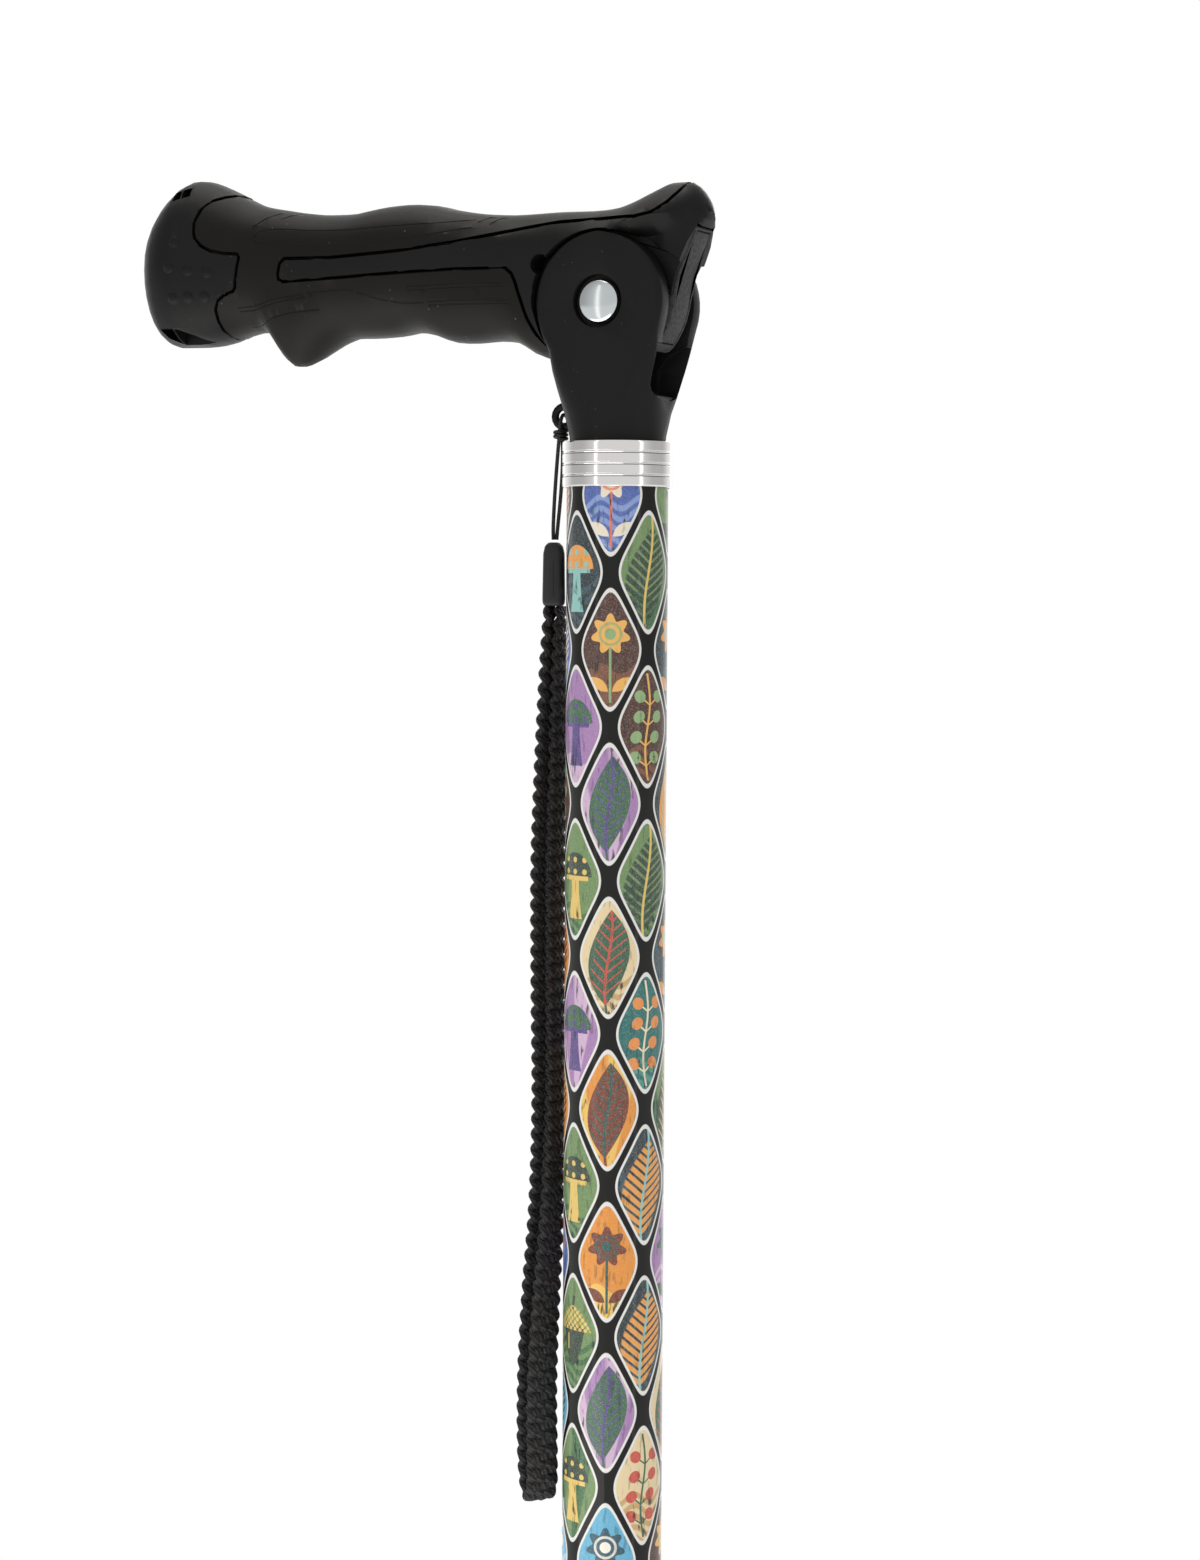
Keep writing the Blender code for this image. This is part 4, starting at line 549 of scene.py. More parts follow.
@dataclass(frozen=True)
class PrintedFilm:
    """The shaft's printed film: a lattice of outlined lozenges, each with an emblem of its own, under gloss lacquer.

    The lattice closes around the tube, and every lozenge draws its emblem and colours from its place in it.
    """

    name: str
    radius: float = 11.11
    columns: int = 4
    height: float = 33.4
    lattice_turn: float = 0.31
    lattice_rise: float = 0.18
    lot_seed: float = 4.5
    corner_power: float = 5.0
    line_depth: float = 0.90
    line_half: float = 0.26
    night: Colour = (0.0060, 0.0058, 0.0052, 1.0)
    chalk: Colour = (0.80, 0.80, 0.77, 1.0)
    sand: Colour = (0.82, 0.78, 0.70, 1.0)
    ink: Colour = (0.02, 0.025, 0.03, 1.0)
    ripple: float = 0.006 * MM
    ripple_scale: float = 420.0
    paper_grain: float = 2600.0
    brush_grain: float = 1100.0
    brush_stretch: Point = (1.0, 1.0, 0.22)
    ground_depth: float = 1.12
    roughness: float = 0.42
    specular: float = 0.1
    coat: float = 0.6
    coat_roughness: float = 0.05
    coat_index: float = 1.42
    grounds: tuple[str, ...] = ("1f6f6c", "e6d2a6", "5fb0d2", "e59438", "a77fb4", "24363e", "6f8f5a", "d2553f",
                                "4f68b0", "4e2f27")
    seconds: tuple[str, ...] = ("479687", "c9a670", "a4d2de", "efc362", "d2b4d2", "38545e", "3f6f46", "ea8656",
                                "86a0d6", "7c4e38")
    mains: tuple[str, ...] = ("f0e3c2", "35614a", "24566b", "7a3e2c", "3f6a4f", "e9a14e", "2d4436", "f4dfb0",
                              "f2e6cf", "f0b65c")
    accents: tuple[str, ...] = ("e9934a", "c9503f", "f4efe0", "2b5a55", "5c4a8a", "8fc7c0", "e7c66a", "37544a",
                                "e8785c", "8fb07a")

    @staticmethod
    def ramp(graph: Graph, where: Field, codes: Sequence[str]) -> bpy.types.NodeSocket:
        """Picks one colour of several.

        Args:
            graph: The material's graph.
            where: A number from 0 to 1.
            codes: Hexadecimal screen colours.

        Returns:
            The picked colour's socket.
        """
        made = graph.node("ShaderNodeValToRGB", inputs={0: where})
        made.color_ramp.interpolation = "CONSTANT"
        elements = made.color_ramp.elements
        while len(elements) < len(codes):
            elements.new(0.5)
        for i, (element, code) in enumerate(zip(elements, codes)):
            element.position, element.color = i / len(codes), srgb(code)
        return made.outputs[0]

    def build(self) -> bpy.types.Material:
        """Makes the material.

        Returns:
            The material.
        """
        graph = Graph.material(self.name)
        px, py, pz = graph.parts(graph.place())
        across = py.arctangent(px) * (self.columns / math.tau) + self.lattice_turn
        upward = pz * (1.0 / (self.height * MM)) + self.lattice_rise
        first, second = across + upward, across - upward
        cell_a, cell_b = first.floor(), second.floor()
        s, t = first - cell_a - 0.5, second - cell_b - 0.5
        width = math.tau * self.radius / self.columns
        x, y = (s + t) * (0.5 * width), (s - t) * (0.5 * self.height)

        column = (cell_a + cell_b).modulo(2.0 * self.columns)
        seat = graph.node("ShaderNodeCombineXYZ", inputs={0: column, 1: cell_a - cell_b, 2: self.lot_seed})
        lot = graph.node("ShaderNodeTexWhiteNoise", {"noise_dimensions": "3D"}, {"Vector": seat.outputs[0]})
        hue, ground, turn = graph.parts(lot.outputs["Color"])
        pick = (column * 5.0 + (cell_a - cell_b) * 3.0 + (ground * 2.0).floor()).modulo(float(len(Motif)))

        gap = 1.0 / math.hypot(1.0 / width, 1.0 / self.height)
        corner = (abs(s).power(self.corner_power) + abs(t).power(self.corner_power)).power(1.0 / self.corner_power)
        depth = (0.5 - corner) * gap

        main, accent = None, None
        emblem = Emblem(x, y)
        for motif in Motif:
            chosen = pick.equals(float(motif.value))
            shape, detail = (mask * chosen for mask in emblem.draw(motif))
            main = shape if main is None else main + shape
            accent = detail if accent is None else accent + detail

        rays = ((x.arctangent(y + 17.0) * 13.0).sine() * 0.6).inside(0.25)
        level = y + 3.0 + (x * 0.7).sine() * 1.2 + (turn - 0.5) * 6.0
        bands = (0.55 - abs(((-level) / 2.4).fract() - 0.5) * 2.0).inside(0.3) * (-level).crisp()
        kind = (turn * 17.0).floor().modulo(3.0)
        tone = rays * kind.equals(0.0) + bands * kind.equals(1.0) + (-level - 2.0).crisp() * kind.equals(2.0)

        colour = graph.mix(tone, self.ramp(graph, hue, self.grounds), self.ramp(graph, hue, self.seconds))
        colour = graph.mix(main, colour, self.ramp(graph, hue, self.mains))
        colour = graph.mix(accent, colour, self.ramp(graph, hue, self.accents))
        speckle = graph.noise(self.paper_grain, 3.0)
        colour = graph.mix(abs(speckle - 0.5) * 0.9, colour, self.sand)
        brush = graph.noise(self.brush_grain, 3.0, self.brush_stretch)
        strokes = (brush - 0.60).inside(0.08) * (tone * 0.5 + 0.35)
        colour = graph.mix(strokes * (1.0 - main * 0.6), colour, self.ink)
        colour = graph.mix((depth - self.ground_depth).crisp(), self.night, colour)
        colour = graph.mix((depth - self.line_depth).within(self.line_half), colour, self.chalk)
        graph.set(Base_Color=colour, Roughness=self.roughness + (speckle - 0.5) * 0.1,
                  Specular_IOR_Level=self.specular, Coat_Weight=self.coat, Coat_Roughness=self.coat_roughness,
                  Coat_IOR=self.coat_index)
        graph.bump(graph.noise(self.ripple_scale), self.ripple)
        return graph.owner


class Finishes:
    """Every material of the staff, made once."""

    def __init__(self) -> None:
        """Builds them all."""
        self.soft_grip = Moulding("soft_grip", (0.0046, 0.0040, 0.0035), 0.44, 0.16, dust=0.5).build()
        self.hard_black = Moulding("hard_black", (0.0052, 0.0052, 0.0052), 0.43, 0.165, grain=4200.0,
                                   grain_depth=0.005 * MM, dust=0.15).build()
        self.lever_grey = Moulding("lever_grey", (0.043, 0.042, 0.042), 0.68, 0.08, grain=1900.0,
                                   grain_depth=0.03 * MM, fleck=0.35).build()
        self.chrome = Metal("chrome", (0.66, 0.70, 0.71), 0.17, tint=0.04, cloud=0.1).build()
        self.steel = Metal("steel", (0.50, 0.51, 0.53), 0.30, 0.004 * MM).build()
        self.bronze = Metal("bronze", (0.45, 0.30, 0.16), 0.40).build()
        # The collar's colour carries painted shade lines low in its grooves.
        self.collar = Metal("turned_aluminium", (0.89, 0.875, 0.86), 0.11,
                            painted_shade_lines=ForkHead.painted_groove_shadows()).build()
        self.film = PrintedFilm("printed_film").build()
        self.anodised = Metal("anodised_black", (0.035, 0.035, 0.038), 0.36, 0.002 * MM, (200.0, 200.0, 6.0)).build()
        self.rubber = Moulding("foot_rubber", (0.014, 0.0137, 0.0132), 0.78, 0.30, grain=2200.0,
                               grain_depth=0.02 * MM, dust=0.6).build()
        self.nylon = Moulding("moulded_nylon", (0.014, 0.014, 0.0145), 0.50, 0.35).build()
        # Both yarns carry painted sheen on their filament crests and a painted glint on the odd fibre.
        self.yarn = BraidYarn("braid_yarn").build()
        self.cord = BraidYarn("cord_yarn", 3.0, 1.6).build()


class Workshop:
    """Modelling steps that the pieces share."""

    @staticmethod
    def activate(piece: bpy.types.Object) -> None:
        """Selects a piece alone and makes it the active one.

        Args:
            piece: The piece.
        """
        if bpy.context.object is not None and bpy.context.object.mode != "OBJECT":
            bpy.ops.object.mode_set(mode="OBJECT")
        bpy.ops.object.select_all(action="DESELECT")
        piece.select_set(True)
        bpy.context.view_layer.objects.active = piece

    @staticmethod
    @contextmanager
    def editing(piece: bpy.types.Object) -> Iterator[None]:
        """Opens a piece in edit mode with all of it selected.

        Args:
            piece: The piece.

        Yields:
            Nothing, while it is open.
        """
        Workshop.activate(piece)
        bpy.ops.object.mode_set(mode="EDIT")
        bpy.ops.mesh.select_all(action="SELECT")
        yield
        bpy.ops.object.mode_set(mode="OBJECT")

    @staticmethod
    def apply(piece: bpy.types.Object, kind: str, **settings: object) -> None:
        """Adds a modifier and applies it.

        Args:
            piece: The piece.
            kind: The modifier's type.
            settings: Its properties.
        """
        Workshop.activate(piece)
        step = piece.modifiers.new(kind.lower(), kind)
        for name, value in settings.items():
            setattr(step, name, value)
        bpy.ops.object.modifier_apply(modifier=step.name)

    @staticmethod
    def bevel(piece: bpy.types.Object, width: float, degrees: float) -> None:
        """Rounds the edges that are sharper than an angle."""
        Workshop.apply(piece, "BEVEL", width=width, segments=2, limit_method="ANGLE",
                       angle_limit=math.radians(degrees), use_clamp_overlap=True)

    @staticmethod
    def joined(tools: Sequence[bpy.types.Object]) -> bpy.types.Object:
        """Joins objects into the first of them.

        Args:
            tools: The objects.

        Returns:
            The first, with all of them in it.
        """
        Workshop.activate(tools[0])
        for tool in tools:
            tool.select_set(True)
        bpy.ops.object.join()
        return bpy.context.object

    @staticmethod
    def boolean(piece: bpy.types.Object, other: bpy.types.Object, operation: str = "DIFFERENCE") -> None:
        """Applies a boolean and removes the other object."""
        Workshop.apply(piece, "BOOLEAN", object=other, operation=operation, solver="EXACT")
        bpy.data.objects.remove(other, do_unlink=True)

    @staticmethod
    def surface(piece: bpy.types.Object) -> BVHTree:
        """Gives a piece's faces for rays to land on."""
        return BVHTree.FromPolygons([v.co for v in piece.data.vertices], [p.vertices for p in piece.data.polygons])

    @staticmethod
    def smooth(piece: bpy.types.Object, degrees: float = 34.0) -> None:
        """Shades a piece smooth but for its sharp edges."""
        Workshop.activate(piece)
        bpy.ops.object.shade_smooth_by_angle(angle=math.radians(degrees))

    @staticmethod
    def from_parts(name: str, points: Sequence[Point], edges: Sequence[tuple[int, int]] = (),
                   faces: Sequence[Sequence[int]] = ()) -> bpy.types.Object:
        """Makes an object of a mesh.

        Args:
            name: Its name.
            points: Its corners in metres.
            edges: Pairs of corner numbers.
            faces: Rings of corner numbers.

        Returns:
            The object.
        """
        mesh = bpy.data.meshes.new(name)
        mesh.from_pydata([tuple(p) for p in points], list(edges), [tuple(f) for f in faces])
        mesh.update()
        piece = bpy.data.objects.new(name, mesh)
        bpy.context.scene.collection.objects.link(piece)
        return piece

    @staticmethod
    def copied(node: str, name: str, degrees: float = 34.0, rounding: float = 0.0) -> bpy.types.Object:
        """Copies a solid, welds its triangles, rounds its edges and shades it.

        Args:
            node: The solid's name.
            name: The piece's name.
            degrees: Edges sharper than this stay sharp.
            rounding: Width of the edges' rounding in metres.

        Returns:
            The piece.
        """
        piece = bpy.data.objects.new(name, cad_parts[node].data.copy())
        bpy.context.scene.collection.objects.link(piece)
        piece.data.materials.clear()
        normals = piece.data.attributes.get("custom_normal")
        if normals is not None:
            piece.data.attributes.remove(normals)
        with Workshop.editing(piece):
            bpy.ops.mesh.remove_doubles(threshold=WELD)
            bpy.ops.mesh.dissolve_degenerate(threshold=SLIVER)
        if rounding:
            with Workshop.editing(piece):
                bpy.ops.mesh.dissolve_limited(angle_limit=FLATNESS)
            Workshop.bevel(piece, rounding, degrees)
        Workshop.smooth(piece, degrees)
        return piece

    @staticmethod
    def lathe(name: str, profile: Sequence[Pair], steps: int = 96, closed: bool = False) -> bpy.types.Object:
        """Spins a profile of radii and heights in millimetres about Z.

        Args:
            name: The piece's name.
            profile: Its (radius, height) points.
            steps: Sides of the result.
            closed: Whether the last point joins the first.

        Returns:
            The piece.
        """
        points = [(r * MM, 0.0, z * MM) for r, z in profile]
        edges = [(i, i + 1) for i in range(len(points) - 1)]
        if closed:
            edges.append((len(points) - 1, 0))
        piece = Workshop.from_parts(name, points, edges)
        with Workshop.editing(piece):
            bpy.ops.mesh.spin(steps=steps, angle=math.tau, center=(0, 0, 0), axis=(0, 0, 1))
            bpy.ops.mesh.select_all(action="SELECT")
            bpy.ops.mesh.remove_doubles(threshold=WELD)
            bpy.ops.mesh.normals_make_consistent(inside=False)
        Workshop.smooth(piece)
        return piece

    @staticmethod
    def tube(name: str, points: Sequence[Vector], radius: float, sides: int = 8) -> bpy.types.Object:
        """Sweeps a round section along points and closes its ends.

        Args:
            name: The piece's name.
            points: The middle line.
            radius: The section's radius in metres.
            sides: The section's sides.

        Returns:
            The piece.
        """
        curve = bpy.data.curves.new(name, "CURVE")
        curve.dimensions = "3D"
        curve.use_fill_caps = True
        curve.bevel_depth = radius
        curve.bevel_resolution = sides // 2 - 2
        line = curve.splines.new("POLY")
        line.points.add(len(points) - 1)
        for knot, place in zip(line.points, points):
            knot.co = (*place, 1.0)
        piece = bpy.data.objects.new(name, curve)
        bpy.context.scene.collection.objects.link(piece)
        Workshop.activate(piece)
        bpy.ops.object.convert(target="MESH")
        piece = bpy.context.object
        piece.name = name
        with Workshop.editing(piece):
            bpy.ops.mesh.remove_doubles(threshold=WELD / 2)
            bpy.ops.mesh.normals_make_consistent(inside=False)
        Workshop.smooth(piece, CORD_ANGLE)
        return piece

    @staticmethod
    def finish(piece: bpy.types.Object, material: bpy.types.Material, body: Body, slot: str,
               *nodes: str) -> None:
        """Gives a piece its material and body, and lets it stand for solids.

        Args:
            piece: The piece.
            material: What it is made of.
            body: The group that it moves in.
            slot: The material slot of the solids; not used.
            nodes: The solids.
        """
        piece.data.materials.clear()
        piece.data.materials.append(material)
        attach(piece, body.value)
        if nodes:
            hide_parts(*nodes)
        LOG.info("%s: %d faces", piece.name, len(piece.data.polygons))

    @staticmethod
    def dress(node: str, name: str, material: bpy.types.Material, body: Body, slot: str, degrees: float,
              rounding: float = 0.0) -> None:
        """Copies a solid and finishes the copy in its place; see copied and finish."""
        Workshop.finish(Workshop.copied(node, name, degrees, rounding), material, body, slot, node)


def smooth_route(route: Sequence[Sequence[float]], count: int) -> list[tuple[float, ...]]:
    """Gives evenly spaced points on a smooth curve through a given route.

    Args:
        route: Knots of three or four numbers; only the first three count as length.
        count: Points wanted.

    Returns:
        The points.
    """
    knots = [Vector(p) for p in route]
    fine: list[Vector] = []
    for i in range(len(knots) - 1):
        a, b = knots[i], knots[i + 1]
        before = knots[i - 1] if i else a + (a - b)
        after = knots[i + 2] if i + 2 < len(knots) else b + (b - a)
        spans = [max((q - p).length, TINY) ** 0.5 for p, q in ((before, a), (a, b), (b, after))]
        m1 = ((a - before) / spans[0] - (b - before) / (spans[0] + spans[1]) + (b - a) / spans[1]) * spans[1]
        m2 = ((b - a) / spans[1] - (after - a) / (spans[1] + spans[2]) + (after - b) / spans[2]) * spans[1]
        for k in range(ROUTE_STEPS):
            t = k / ROUTE_STEPS
            fine.append(a * (2 * t ** 3 - 3 * t ** 2 + 1) + m1 * (t ** 3 - 2 * t ** 2 + t)
                        + b * (3 * t ** 2 - 2 * t ** 3) + m2 * (t ** 3 - t ** 2))
    fine.append(knots[-1])
    marks = [0.0]
    for a, b in zip(fine, fine[1:]):
        marks.append(marks[-1] + (b.to_3d() - a.to_3d()).length)
    result, k = [], 0
    for i in range(count):
        mark = marks[-1] * i / (count - 1)
        while k < len(marks) - 2 and marks[k + 1] < mark:
            k += 1
        share = (mark - marks[k]) / max(marks[k + 1] - marks[k], TINY)
        result.append(tuple(fine[k].lerp(fine[k + 1], min(max(share, 0.0), 1.0))))
    return result


@dataclass
class Studio:
    """Camera of the photograph, pale floor, white surroundings and soft lamps."""

    yaw: float = math.radians(24.5)
    pitch: float = math.radians(3.5)
    roll: float = math.radians(0.31)
    eye: Point = (0.27882, -0.62021, PIVOT_Z - 0.06199)
    sensor: float = 36.0
    focus_pixels: float = 3100.0
    picture_pixels: float = 1560.0
    nearest: float = 0.01
    floor_size: float = 24.0
    floor_drop: float = 0.4 * MM
    floor_colour: Colour = (0.93, 0.93, 0.93, 1.0)
    floor_roughness: float = 0.9
    near_glow: float = 0.72
    bounced_glow: float = 0.6
    fade_rate: float = 1.6
    fade_shift: float = -0.35
    ambient: float = 0.60
    front_gloss: float = 0.72
    side_gloss: float = 0.46
    ahead_span: Pair = (0.15, 0.80)
    behind_span: Pair = (-0.25, -0.85)
    warmth: Rgb = (1.0, 0.955, 0.915)

    def camera(self) -> None:
        """Stands the camera where the photograph was taken."""
        forward = Vector((-math.sin(self.yaw) * math.cos(self.pitch), math.cos(self.yaw) * math.cos(self.pitch),
                          -math.sin(self.pitch)))
        right = Vector((math.cos(self.yaw), math.sin(self.yaw), 0.0))
        up = right.cross(forward)
        across = math.cos(self.roll) * right + math.sin(self.roll) * up
        upward = -math.sin(self.roll) * right + math.cos(self.roll) * up
        data = bpy.data.cameras.new("camera")
        data.lens = self.focus_pixels / self.picture_pixels * self.sensor
        data.sensor_width, data.sensor_fit, data.clip_start = self.sensor, "AUTO", self.nearest
        thing = bpy.data.objects.new("camera", data)
        thing.matrix_world = Matrix((across, upward, -forward)).transposed().to_4x4()
        thing.location = self.eye
        bpy.context.scene.collection.objects.link(thing)
        bpy.context.scene.camera = thing

    def towards(self, degrees: float, distance: float, height: float) -> Vector:
        """Gives a point around the pivot; degrees turn right from the camera as it looks at the staff."""
        angle = math.radians(degrees) + self.yaw
        return Vector((math.sin(angle) * distance, -math.cos(angle) * distance, PIVOT_Z + height))

    def lamp(self, name: str, place: Vector, size: Pair, power: float) -> None:
        """Hangs a soft box that faces the pivot.

        Args:
            name: Its name.
            place: Where it hangs.
            size: Width and height in metres.
            power: Watts.
        """
        data = bpy.data.lights.new(name, "AREA")
        data.shape, data.size, data.size_y, data.energy = "RECTANGLE", size[0], size[1], power
        data.color = self.warmth
        thing = bpy.data.objects.new(name, data)
        thing.location = place
        thing.rotation_euler = (Vector((0.0, 0.0, PIVOT_Z)) - place).to_track_quat("-Z", "Y").to_euler()
        bpy.context.scene.collection.objects.link(thing)

    def surroundings(self) -> None:
        """Lights the world: white to the camera, in gloss darker at both sides than in front, even for shading."""
        world = bpy.data.worlds.new("surroundings")
        bpy.context.scene.world = world
        graph = Graph(world)
        graph.tree.nodes.clear()
        rays = graph.node("ShaderNodeLightPath").outputs
        front = (math.sin(self.yaw), -math.cos(self.yaw), 0.1)
        facing = graph.node("ShaderNodeVectorMath", {"operation": "DOT_PRODUCT"},
                            {0: graph.node("ShaderNodeTexCoord").outputs["Generated"], 1: front})
        ahead, behind = (graph.node("ShaderNodeMapRange", {"interpolation_type": "SMOOTHSTEP"},
                                    {"Value": facing.outputs["Value"], "From Min": low, "From Max": high})
                         for low, high in (self.ahead_span, self.behind_span))
        gloss = graph.mix(ahead.outputs["Result"], self.side_gloss, self.front_gloss, "FLOAT")
        gloss = graph.mix(behind.outputs["Result"], gloss, 1.0, "FLOAT")
        seen = graph.math("ADD", rays["Is Camera Ray"], rays["Is Transmission Ray"], clamp=True)
        plain = graph.mix(rays["Is Glossy Ray"], self.ambient, gloss, "FLOAT")
        back = graph.node("ShaderNodeBackground",
                          inputs={"Color": WHITE, "Strength": graph.mix(seen, plain, 1.0, "FLOAT")})
        graph.node("ShaderNodeOutputWorld", inputs={0: back.outputs[0]})

    def floor(self) -> None:
        """Lays a pale floor that keeps a soft shadow and fades to white far from the staff."""
        bpy.ops.mesh.primitive_plane_add(size=self.floor_size, location=(0, 0, -self.floor_drop))
        piece = bpy.context.object
        piece.name = "floor"
        graph = Graph.material("floor_white")
        graph.set(Base_Color=self.floor_colour, Roughness=self.floor_roughness, Specular_IOR_Level=0.0)
        rays = graph.node("ShaderNodeLightPath")
        reach = graph.node("ShaderNodeVectorMath", {"operation": "LENGTH"}, {0: graph.place()})
        far = graph.math("MULTIPLY_ADD", reach.outputs["Value"], self.fade_rate, self.fade_shift, clamp=True)
        lit = self.near_glow + far * (1.0 - self.near_glow)
        glow = graph.node("ShaderNodeEmission", inputs={"Color": WHITE, "Strength": 1.0})
        blend = graph.node("ShaderNodeMixShader", inputs={
            0: lit * Field(graph, rays.outputs["Is Camera Ray"]).larger(self.bounced_glow),
            1: graph.shader.outputs[0], 2: glow.outputs[0]})
        graph.feed(graph.tree.nodes["Material Output"].inputs["Surface"], blend.outputs[0])
        piece.data.materials.append(graph.owner)

    def build(self) -> None:
        """Sets up all of it."""
        self.camera()
        self.surroundings()
        self.floor()
        self.lamp("left_strip", self.towards(-46.5, 1.1, 0.0), (0.12, 1.6), 0.52)
        self.lamp("right_strip", self.towards(50.0, 1.1, 0.0), (0.13, 1.6), 0.62)
        self.lamp("top_box", Vector((-0.15, 0.10, PIVOT_Z + 0.95)), (0.9, 0.9), 4.6)
        self.lamp("low_box", Vector((-0.10, -0.30, PIVOT_Z - 0.60)), (0.9, 0.5), 2.0)
        self.lamp("back_box", self.towards(165.0, 1.5, 0.5), (0.8, 0.8), 5.0)
        self.lamp("under_box", self.towards(175.0, 1.2, -0.42), (1.3, 0.5), 0.9)
        self.lamp("right_rim", self.towards(150.0, 1.3, 0.0), (0.25, 1.8), 0.5)
        self.lamp("left_rim", self.towards(-150.0, 1.3, 0.0), (0.25, 1.8), 0.7)
        bpy.context.scene.view_settings.view_transform = "Standard"


@dataclass
class WristStrap:
    """Braided wrist loop, its crimp cap, and the thin cord that ties it to the fork's lug."""

    finishes: Finishes
    strands: int = 7
    pitch: float = 23.9
    width: float = 7.3
    turn_share: float = 0.88
    strand_width: float = 2.5
    strand_thickness: float = 1.35
    strand_lift: float = 0.56 * MM
    crimp_turn: float = math.radians(24.5)
    strap_length: float = 0.401
    cord_length: float = 0.058
    cord_radius: float = 0.42 * MM
    cord_diameter: float = 0.001
    cord_points: int = 90
    hitch_turns: float = 2.5
    hitch_start: float = 1.2
    hitch_pitch: float = 0.85
    hitch_place: Pair = (-13.75, -28.9)
    hitch_reach: Pair = (1.2212, 1.6756)
    hitch_steps: int = 20
    slot_top: float = 0.8150
    slot_length: float = 7.8 * MM
    slot_middle: Point = (-15.22 * MM, -0.12 * MM, 0.0)
    slot_radius: float = 0.17 * MM
    slot_start: float = 0.02
    slot_proud: float = 0.06 * MM
    slot_points: int = 12
    cap_angle: float = 30.0
    cap_rounding: float = 0.3 * MM
    route: tuple[Knot, ...] = (
        (-14.75, 6.2, -65.95, 8.0), (-14.75, 6.2, -70.6, 16.0), (-15.0, 6.2, -82.6, 27.0),
        (-15.8, 6.2, -103.6, 31.0), (-16.35, 6.2, -121.6, 31.0), (-16.25, 6.2, -148.6, 31.0),
        (-15.9, 6.1, -175.6, 32.0), (-16.3, 6.0, -198.6, 38.0), (-17.4, 5.9, -218.6, 50.0),
        (-18.0, 6.0, -238.6, 62.0), (-17.8, 5.9, -255.0, 68.0), (-17.2, 5.2, -261.9, 70.0),
        (-16.4, 3.6, -264.5, 71.0), (-15.7, 1.9, -261.8, 72.0), (-15.6, 0.9, -255.6, 72.0),
        (-15.7, 0.6, -238.6, 66.0), (-14.8, 1.3, -218.6, 54.0), (-13.5, 3.0, -198.6, 40.0),
        (-12.9, 5.0, -175.6, 32.0), (-13.05, 5.8, -148.6, 31.0), (-13.15, 6.1, -121.6, 31.0),
        (-12.7, 6.2, -103.6, 31.0), (-12.45, 6.2, -82.6, 27.0), (-12.4, 6.2, -70.6, 16.0),
        (-12.35, 6.2, -65.95, 8.0))
    loop_route: tuple[Point, ...] = (
        (-14.75, 0.20, -50.9), (-14.56, 0.22, -48.65), (-13.97, 0.26, -42.65), (-13.52, 0.27, -36.65),
        (-13.40, 0.30, -31.65), (-13.6, 0.65, -29.05), (-13.4, 1.35, -27.25), (-13.05, 1.85, -25.85),
        (-12.9, 1.75, -24.65), (-12.9, 1.0, -23.75), (-12.9, 0.0, -23.5), (-12.9, -1.0, -23.75),
        (-12.9, -1.75, -24.65), (-13.05, -1.85, -25.85), (-13.4, -1.35, -27.25), (-13.9, -0.65, -29.05),
        (-14.30, -0.30, -31.65), (-14.72, -0.27, -36.65), (-15.13, -0.26, -42.65), (-15.40, -0.22, -48.65),
        (-15.35, -0.20, -50.9))
    samples: int = 860
    sides: int = 8

    def frames(self, count: int) -> list[Frame]:
        """Lays out the flat braid.

        Args:
            count: Points wanted along it.

        Returns:
            Place, wide way and thick way at each point.
        """
        side = Vector((math.cos(self.crimp_turn), math.sin(self.crimp_turn), 0))
        depth = Vector((-math.sin(self.crimp_turn), math.cos(self.crimp_turn), 0))
        rows = smooth_route(self.route, count)
        places = [side * (r[0] * MM) + depth * (r[1] * MM) + Vector((0, 0, PIVOT_Z + r[2] * MM)) for r in rows]
        result = []
        for i, row in enumerate(rows):
            step = (places[min(i + 1, count - 1)] - places[max(i - 1, 0)]).normalized()
            angle = self.crimp_turn + math.pi / 2 - math.radians(row[3])
            wide = Vector((math.cos(angle), math.sin(angle), 0.0))
            wide = (wide - step * wide.dot(step)).normalized()
            result.append((places[i], wide, step.cross(wide)))
        return result

    def swing(self, phase: float) -> float:
        """Gives a strand's place across the braid, from -1 to 1: straight runs with rounded turns."""
        return math.asin(self.turn_share * math.cos(phase)) / math.asin(self.turn_share)

    def middle_line(self, route: Sequence[Frame], length: float, strand: int) -> list[Vector]:
        """Leads one strand over and under along the flat route.

        Args:
            route: Places and ways of the flat braid.
            length: The braid's length in metres.
            strand: The strand's number.

        Returns:
            The strand's middle line.
        """
        reach = (self.width - self.strand_width) / 2 * MM
        line = []
        for i, (place, wide, thick) in enumerate(route):
            phase = math.tau * (length / MM * i / (self.samples - 1) / self.pitch + strand / self.strands)
            line.append(place + wide * (reach * self.swing(phase))
                        + thick * (self.strand_lift * math.sin((self.strands - 1) * phase)))
        return line

